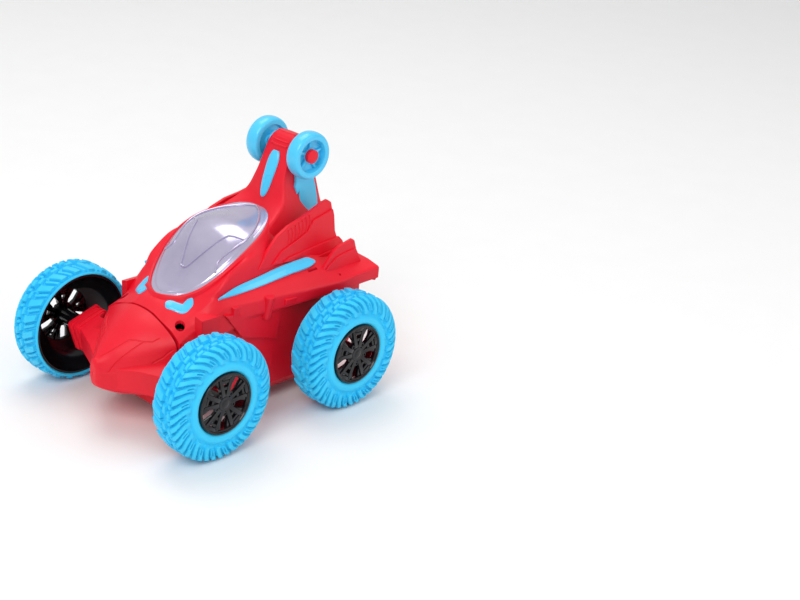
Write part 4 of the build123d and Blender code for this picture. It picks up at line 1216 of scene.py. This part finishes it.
@dataclass
class Wing(Sided):
    """Feathered upright panels beside the fin and the small winglet on the rear deck.

    A layer is the X of its inner and its outer face and its outline of (y, z) points.  Places, feet
    and tops of the feather ribs are the first rib's value and what each further rib adds.
    """

    foot: float = 92.0
    lean: float = -0.06
    flare: float = 0.10
    flare_middle: float = 48.0
    flare_slope: tuple[float, float] = (-1.117, 0.655)
    feathers: int = 7
    feather_radius: float = 0.7
    feather_bow: float = 1.2
    feather_x: float = 33.2
    feather_places: tuple[float, float] = (36.0, 3.1)
    feather_feet: tuple[float, float] = (105.5, 0.9)
    feather_tops: tuple[float, float] = (114.6, 1.15)
    winglet_foot: float = 84.0
    winglet_lean: float = 0.03
    step_share: float = 0.62
    step_back: float = 1.5
    layers: tuple[tuple[float, float, Profile], ...] = (
        (30.6, 33.2, (
            (10.5, 93), (17.4, 103), (27, 112.4), (37, 117.6), (48, 120.6), (66.4, 127.6), (71.4, 128.6),
            (74.6, 126.4), (76.6, 118), (77.8, 106), (79.6, 101), (83, 98.6), (85.6, 94), (84, 86))),
        (32.6, 34.5, (
            (21.5, 94.4), (30, 102), (43, 106.8), (52.6, 110.6), (58, 117.4), (75.4, 121.6), (76.6, 117),
            (77.4, 106), (79.4, 101), (80, 88))),
        (33.9, 35.8, (
            (30, 94.8), (36, 97), (56, 99.4), (80.2, 101.6), (83.4, 98.2), (86, 92), (84, 85))),
        (35.2, 37.0, ((46, 87), (60, 92.4), (84.4, 95.4), (87, 91), (86, 84))))
    winglet: Profile = (
        (54, 83), (59.5, 90.5), (66, 98), (70.5, 100), (82.4, 102.6), (84.4, 101), (87.6, 92), (90.6, 83))

    def flared(self, points: Array) -> Array:
        """Turn a wing outwards towards its front: the shift s = flare (middle - y) moves x, y and z.

        Args:
            points: shape (n, 3).

        Returns:
            The moved points, shape (n, 3).
        """
        shift = self.flare * (self.flare_middle - points[:, 1:2])
        return points + shift * np.array([self.side, *self.flare_slope])

    def panel(self, outline: Profile, inner: float, outer: float, lean: float, foot: float) -> Mould:
        """Leaning flat panel on this wing's side of the car.

        Args:
            outline: (y, z) points.
            inner: X of its inner face.
            outer: X of its outer face.
            lean: outward shift for each millimetre of height.
            foot: height where the lean is nothing.

        Returns:
            The mould with the panel.
        """
        return plate(Mould(), outline, self.side * inner, self.side * outer, lean, foot)

    def feather_ribs(self) -> Mould:
        """Short bowed bars side by side on the wing's upper part.

        Returns:
            The mould with the bars.
        """
        ribs = Mould()
        for number in range(self.feathers):
            numbers = (self.feather_places, self.feather_feet, self.feather_tops)
            y, low, high = (first + pitch * number for first, pitch in numbers)
            z = np.linspace(low, high, 8)
            bow = self.feather_bow * np.sin(pi * (z - low) / (high - low))
            x = self.side * (self.feather_x + self.lean * (z - self.foot))
            tube(ribs, self.flared(np.stack([x, y + bow, z], axis=1)), self.feather_radius, 6)
        return ribs

    def build(self) -> None:
        """Make the layered wing, its feather ribs and the winglet."""
        pieces = []
        for number, (inner, outer, outline) in enumerate(self.layers):
            layer = self.panel(outline, inner, outer, self.lean, self.foot)
            layer.points = [self.flared(points) for points in layer.points]
            pieces.append((layer, f"wing_layer_{number + 1}", 0.45))
        pieces.append((self.feather_ribs(), "wing_feather_ribs", 0.0))
        lean, foot = self.winglet_lean, self.winglet_foot
        pieces.append((self.panel(self.winglet, 43.0, 45.6, lean, foot), "winglet", 0.5))
        lower = tuple((y + self.step_back, foot + (z - foot) * self.step_share) for y, z in self.winglet)
        pieces.append((self.panel(lower, 45.0, 46.6, lean, foot), "winglet_step", 0.4))
        for mould, name, bevel in pieces:
            made = mould.piece(f"{name}_{self.side_name}", RED, bevel=bevel)
            settle(made, "chassis", RED, "upper_shell")


# ---- blue trims ----------------------------------------------------------------------
@dataclass
class Trims(Sided):
    """Blue bent mark on the hood, tapered side strip and tail strut of one side.

    Strip keys are (y, upper x, upper z, lower x, lower z) along the car, strip rows (part of the
    way from the upper to the lower edge, lift off the shell).
    """

    mark_points: Profile = ((10.8, -49.4), (22.2, -43.4), (22.4, -35.8))
    mark_width: float = 6.0
    mark_window: float = 0.16
    mark_height: float = 0.85
    mark_depth: float = 1.8
    strip_keys: tuple[tuple[float, ...], ...] = (
        (-27.0, 37.0, 84.7, 37.5, 84.0), (-14.6, 36.9, 88.4, 39.2, 84.6), (3.4, 37.0, 90.9, 40.8, 86.0),
        (30.4, 37.2, 94.2, 42.6, 89.4), (41.6, 37.5, 94.8, 43.5, 90.4), (48.0, 37.7, 94.9, 43.1, 90.8),
        (52.4, 40.2, 92.8, 41.6, 91.2))
    strip_rows: Profile = (
        (0.0, -3.0), (0.0, 0.2), (0.08, 0.6), (0.5, 1.1), (0.94, 0.6), (1.0, 0.2), (1.0, -3.0))
    strip_lift: tuple[float, float] = (0.6, 0.8)
    strut_faces: tuple[float, float] = (11.9, 14.2)
    strut_outline: Profile = (
        (57.2, 163.4), (56.6, 150.0), (58.2, 138.4), (57.4, 134.6), (59.4, 129.3), (61.2, 131.4),
        (62.4, 122.0), (65.6, 107.4), (79.7, 112.1), (78.4, 124.0), (76.0, 133.2), (71.0, 148.0),
        (67.2, 163.4), (62.0, 166.4))

    def mark(self) -> bpy.types.Object:
        """Raised bent mark: a pillow carried along a rounded elbow that lies on the hood.

        Returns:
            The mark.
        """
        corners = np.array(self.mark_points)
        t = np.linspace(0.0, 2.0, 61)
        where = np.clip(t[:, None] + self.mark_window * WINDOW[None], 0.0, 2.0)
        low = np.clip(np.floor(where).astype(int), 0, 1)
        part = (where - low)[..., None]
        spine = (corners[low] * (1 - part) + corners[low + 1] * part).mean(axis=1)
        along = np.gradient(spine, axis=0)
        along /= np.linalg.norm(along, axis=1, keepdims=True)
        sideways = np.stack([-along[:, 1], along[:, 0]], axis=1)
        gone = run(spine)
        near = np.minimum(gone, gone[-1] - gone) / (self.mark_width / 2)
        half = self.mark_width / 2 * np.sqrt(np.clip(1 - np.clip(1 - near, 0, 1) ** 2, 0.004, 1.0))
        across = np.linspace(-1.0, 1.0, 11)
        plan = spine[:, None] + half[:, None, None] * across[None, :, None] * sideways[:, None]
        flat = plan.reshape(-1, 2)
        height = BODY.height(flat[:, 0], flat[:, 1], 6.0).reshape(plan.shape[:2])
        proud = self.mark_height * np.sqrt(np.clip(1 - across**4, 0.0, 1.0))[None]
        top = np.stack([self.side * plan[..., 0], plan[..., 1], height + proud], axis=2)
        back = top[:, ::-1] - np.array([0.0, 0.0, self.mark_depth])
        loop = Mould().grid(np.concatenate([top, back], axis=1), wrap_columns=True, cap=True)
        return loop.piece(f"blue_hood_mark_{self.side_name}", TRIM)

    def strip(self) -> bpy.types.Object:
        """Tapered strip of two facets from a point near the hood back to a slanted end.

        Returns:
            The strip.
        """
        keys = np.array(self.strip_keys)
        y = np.linspace(keys[0, 0], keys[-1, 0], 50)
        upper_x, upper_z, lower_x, lower_z = eased(keys[:, 0], keys[:, 1:], y).T
        rows = []
        for part, lift in self.strip_rows:
            x = upper_x + (lower_x - upper_x) * part + lift * self.strip_lift[0]
            z = upper_z + (lower_z - upper_z) * part + lift * self.strip_lift[1]
            rows.append(np.stack([self.side * x, y, z], axis=1))
        loop = Mould().grid(np.stack(rows, axis=1), wrap_columns=True, cap=True)
        return loop.piece(f"blue_side_strip_{self.side_name}", TRIM, sharp=14.0)

    def strut(self) -> bpy.types.Object:
        """Curved blue strut from the tail axle down beside the fin, with a small hook.

        Returns:
            The strut.
        """
        inner, outer = self.strut_faces
        panel = plate(Mould(), self.strut_outline, self.side * inner, self.side * outer)
        return panel.piece(f"blue_tail_strut_{self.side_name}", TRIM, bevel=0.5)

    def build(self) -> None:
        """Make the mark, the strip and the strut."""
        made_for = {"hood_mark": self.mark(), "side_strip": self.strip(), "tail_strut": self.strut()}
        for node, made in made_for.items():
            settle(made, "chassis", TRIM, f"{node}_{self.side_name}")


# ---- nose ----------------------------------------------------------------------------
NOSE = Hull(
    places=[-97.2, -96.4, -94.2, -90.2, -86.0, -80.0, -73.0, -66.0, -59.0],
    halves=[
        [(0, 46.0), (1.4, 45.7), (2.6, 43.0), (3.0, 40.0), (2.8, 36.5), (1.6, 33.5), (0, 33.0)],
        [(0, 47.6), (2.2, 47.2), (3.8, 43.4), (4.2, 40.2), (3.9, 34.6), (2.6, 31.2), (0, 30.6)],
        [(0, 49.0), (3.4, 48.4), (5.6, 44.0), (6.2, 40.4), (5.8, 32.4), (4.2, 28.8), (0, 28.4)],
        [(0, 52.6), (5.4, 51.4), (9.0, 45.8), (9.8, 40.6), (9.4, 30.6), (7.2, 26.8), (0, 26.0)],
        [(0, 56.8), (7.6, 55.4), (12.8, 48.8), (14.2, 41.4), (13.8, 29.6), (10.6, 25.2), (0, 24.2)],
        [(0, 61.8), (10.0, 60.3), (17.8, 52.6), (20.2, 42.8), (19.6, 28.8), (14.6, 23.9), (0, 22.9)],
        [(0, 67.4), (12.0, 65.6), (23.6, 56.4), (26.6, 44.4), (25.8, 28.4), (18.6, 22.8), (0, 21.8)],
        [(0, 71.6), (13.0, 69.8), (29.4, 60.2), (32.6, 46.0), (31.6, 28.0), (22.4, 22.0), (0, 20.8)],
        [(0, 74.2), (13.6, 72.6), (34.0, 63.0), (38.0, 47.0), (37.2, 27.0), (26.0, 21.0), (0, 19.4)],
    ],
    softness=[0.5, 0.5, 0.30, 0.10, 0.35, 0.30, 0.5],
)


@dataclass
class Nose:
    """Rolling nose: an upper hood and a lower tray that meet along the lip."""

    front: float = -97.2
    rear: float = -59.0
    wall: float = 1.8
    lip: float = 3.0
    lowest: float = 6.0
    tip_height: float = 39.5
    tip_shares: Place = (0.02, 0.5, 0.85)
    crease: Profile = (
        (1.6, -92.9), (6.6, -86.6), (11.4, -77.9), (15.6, -74.8), (19.2, -72.3), (23.7, -68.6), (25.5, -64.6))
    cheek: Profile = ((8.4, -91.6), (9.6, -89.9), (11.8, -86.6), (15.1, -80.6), (19.2, -72.3))
    slot: Profile = ((27.0, -71.6), (31.0, -66.3), (34.2, -60.6))

    def half(self, first: float, last: float, columns: int) -> Array:
        """Part of the nose between two outline numbers, closed to a row at its tip.

        Args:
            first: outline number of the first column.
            last: outline number of the last column.
            columns: points across.

        Returns:
            Points, shape (rows, columns, 3).
        """
        y = self.front + (self.rear - self.front) * np.linspace(0.0, 1.0, 90) ** 1.25
        t = np.linspace(first, last, columns)
        folded = np.where(t > self.lowest, 2 * self.lowest - t, t)
        points = NOSE.outline(y, folded)
        points[..., 0] *= np.where(t > self.lowest, -1.0, 1.0)[None]
        tips = []
        for share in self.tip_shares:
            tip = points[:1] - np.array([0.0, 0.0, self.tip_height])
            tip = tip * np.array([share, 1.0, share]) + np.array([0.0, 0.0, self.tip_height])
            tips.append(tip)
        return np.concatenate(tips + [points])

    def build(self) -> None:
        """Make the hood with its grooves and the tray."""
        hood = Mould().grid(self.half(-self.lip, self.lip, 121)).piece("nose_hood", RED, sharp=40.0)
        under = self.half(self.lip, 2 * self.lowest - self.lip, 121)
        tray = Mould().grid(under).piece("nose_tray", RED, sharp=40.0)
        thicken(hood, self.wall)
        thicken(tray, self.wall)
        carve(hood, self.grooves())
        settle(hood, "nose", RED, "nose_top_cover")
        settle(tray, "nose", RED, "nose_bottom_tray")

    def on_hood(self, plan: Profile, side: float) -> Array:
        """Path over the hood through plan points, as short straight runs.

        Args:
            plan: (x, y) corners.
            side: 1 for the left, -1 for the right.

        Returns:
            Points, shape (n, 3).
        """
        corners = np.array(plan)
        lengths = run(corners)
        at = np.linspace(0.0, lengths[-1], 30)
        x, y = np.interp(at, lengths, corners[:, 0]), np.interp(at, lengths, corners[:, 1])
        return np.stack([side * x, y, NOSE.height(x, y, self.lip)], axis=1)

    def grooves(self) -> list[bpy.types.Object]:
        """Cutters for the moulded lines on both sides of the hood.

        Returns:
            The cutters.
        """
        cutters = []
        for side in SIDES.values():
            for plan, radius in ((self.crease, 0.5), (self.cheek, 0.5), (self.slot, 0.8)):
                path = self.on_hood(plan, side)
                cutters.append(tube(Mould(), path, radius, 6).piece("cutter", RED))
        return cutters


@dataclass
class Arm(Sided):
    """Arm of the nose that carries a front wheel: a tilted rounded box and a sloped web.

    Stations are (place along X, growth of the section).  Web corners are (y, z) points in the nose
    and at the arm.
    """

    tilt: float = 18.0
    corner: float = 2.4
    half_size: tuple[float, float] = (11.5, 10.25)
    ahead: float = 1.6
    height: float = 39.1
    hidden_to: float = 44.0
    hidden_y: float = -59.2
    stations: Profile = (
        (24.0, 0.0), (47.6, 0.0), (47.9, 0.8), (49.4, 0.8), (49.7, 0.0), (51.2, 0.0), (51.5, 0.8),
        (53.0, 0.8), (53.3, 0.0), (55.6, 0.0), (56.0, 1.2), (58.0, 1.2))
    web_x: tuple[float, float] = (11.0, 46.5)
    web_in_nose: Profile = ((-88.0, 28.0), (-76.0, 28.0), (-70.0, 50.0), (-88.6, 43.4))
    web_at_arm: Profile = ((-71.0, 28.6), (-66.0, 28.6), (-62.0, 48.0), (-73.0, 45.2))
    web_middle: float = 0.42
    web_swell: Place = (0.0, 1.2, 0.4)

    def beam(self) -> bpy.types.Object:
        """Tilted rounded box that carries a stub axle, with two ribs and an end flange.

        Returns:
            The beam.
        """
        turn = radians(self.tilt)
        rows = []
        for x, grow in self.stations:
            half = np.array(self.half_size) + grow
            centres = np.array([[1, 1], [-1, 1], [-1, -1], [1, -1]]) * (half - self.corner)
            arcs = [centres[q] + ring(self.corner, 5 * 4, q * pi / 2)[:6] for q in range(4)]
            outline = np.concatenate(arcs)
            y = AXLES["front"] + self.ahead + outline[:, 0] * cos(turn) - outline[:, 1] * sin(turn)
            z = self.height + outline[:, 0] * sin(turn) + outline[:, 1] * cos(turn)
            if x < self.hidden_to:
                y = np.minimum(y, self.hidden_y)
            rows.append(np.stack([np.full(len(y), self.side * x), y, z], axis=1))
        end = np.full(len(rows[0]), self.side * self.hidden_to)
        rows.insert(1, np.column_stack([end, rows[0][:, 1:]]))
        mould = Mould().grid(np.stack(rows), wrap_columns=True, cap=True)
        return mould.piece(f"axle_arm_{self.side_name}", RED, bevel=0.3)

    def web(self) -> bpy.types.Object:
        """Sloped web that joins the arm's front to the side of the nose.

        Returns:
            The web.
        """
        ends = [np.column_stack([np.full(4, x), corners])
                for x, corners in zip(self.web_x, (self.web_in_nose, self.web_at_arm))]
        middle = ends[0] + (ends[1] - ends[0]) * self.web_middle + np.array(self.web_swell)
        rows = np.stack([ends[0], middle, ends[1]]) * np.array([self.side, 1.0, 1.0])
        mould = Mould().grid(rows, wrap_columns=True, cap=True)
        return mould.piece(f"arm_web_{self.side_name}", RED, bevel=0.8)

    def build(self) -> None:
        """Make the beam and the web, which ride on the nose."""
        for made in (self.beam(), self.web()):
            settle(made, "nose", RED, f"front_arm_{self.side_name}")


# ---- scene ---------------------------------------------------------------------------
@dataclass
class Studio:
    """Pale floor, soft lights and the camera."""

    eye: Place = (0.761, -0.664, 0.512)
    right: Place = (0.7213, 0.6888, 0.0735)
    up: Place = (-0.3259, 0.2438, 0.9134)
    lens: float = 74.47
    floor_size: float = 6.0
    sky: float = 0.66
    sensor: float = 36.0
    flat_to: float = 2.5
    curve: float = 0.25
    aim: Place = (0.0, 0.0, 0.07)
    lamps: tuple[tuple[str, Place, float, float], ...] = (
        ("key_lamp", (0.55, -1.0, 1.15), 0.7, 9.0), ("top_lamp", (-0.5, 0.2, 1.5), 0.9, 7.0),
        ("fill_lamp", (1.4, 0.7, 0.8), 0.8, 4.0))

    def floor(self) -> None:
        """Pale floor that curves up far behind the car."""
        s = np.linspace(-1.0, 1.0, 40)
        reach = s * self.floor_size
        x, y = np.meshgrid(reach, reach, indexing="ij")
        far = np.sqrt(x**2 + y**2)
        z = np.clip(far - self.flat_to, 0.0, None) ** 2 * self.curve
        mould = Mould().grid(np.stack([x, y, z], axis=2) / MM)
        cream = Finish("studio_floor", (0.93, 0.93, 0.93), (0.92, 0.92, 0.92), 0.7, relief=0.0)
        mould.piece("studio_floor", cream)

    def lamp(self, name: str, place: Place, size: float, power: float) -> None:
        """Soft square lamp that faces the car.

        Args:
            name: the lamp's name.
            place: where it is, in metres.
            size: its edge.
            power: its watts.
        """
        data = bpy.data.lights.new(name, "AREA")
        data.size = size
        data.energy = power
        made = bpy.data.objects.new(name, data)
        bpy.context.scene.collection.objects.link(made)
        made.location = place
        towards = Vector(self.aim) - Vector(place)
        made.rotation_euler = towards.to_track_quat("-Z", "Y").to_euler()

    def camera(self) -> None:
        """Camera at its measured place and turn."""
        data = bpy.data.cameras.new("camera")
        data.lens = self.lens
        data.sensor_width = self.sensor
        made = bpy.data.objects.new("camera", data)
        bpy.context.scene.collection.objects.link(made)
        right, up = Vector(self.right).normalized(), Vector(self.up)
        back = right.cross(up).normalized()
        up = back.cross(right)
        turn = Matrix((right, up, back)).transposed().to_4x4()
        made.matrix_world = Matrix.Translation(Vector(self.eye)) @ turn
        bpy.context.scene.camera = made

    def build(self) -> None:
        """Set up the camera, the floor, the world and the lamps."""
        self.camera()
        self.floor()
        world = bpy.data.worlds.new("studio")
        world.use_nodes = True
        sky = world.node_tree.nodes["Background"]
        sky.inputs["Color"].default_value = (1.0, 1.0, 1.0, 1.0)
        sky.inputs["Strength"].default_value = self.sky
        bpy.context.scene.world = world
        bpy.context.scene.view_settings.view_transform = "Standard"
        for lamp in self.lamps:
            self.lamp(*lamp)


def dress_cad_nodes() -> None:
    """Give each CAD node the finish of its record slot."""
    for part in frame["record"]["subparts"]:
        node = frame["nodes"][part["node"]]
        node.data.materials.clear()
        node.data.materials.append(FINISHES[part["material_slot"]].material())


def main() -> None:
    """Build every assembly in order and report each."""
    logging.basicConfig(level=logging.INFO, format="%(message)s")
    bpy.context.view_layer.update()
    dress_cad_nodes()
    assemblies = [Studio()]
    assemblies += [RoadWheel(name, end) for end in AXLES for name in SIDES]
    assemblies += [TailWheel(name) for name in SIDES] + [Shell(), Dome(), Fin()]
    assemblies += [Wing(name) for name in SIDES] + [Trims(name) for name in SIDES]
    assemblies += [Nose()] + [Arm(name) for name in SIDES]
    for assembly in assemblies:
        assembly.build()
        log.info("built %s", type(assembly).__name__)


if __name__ == "__main__":
    main()
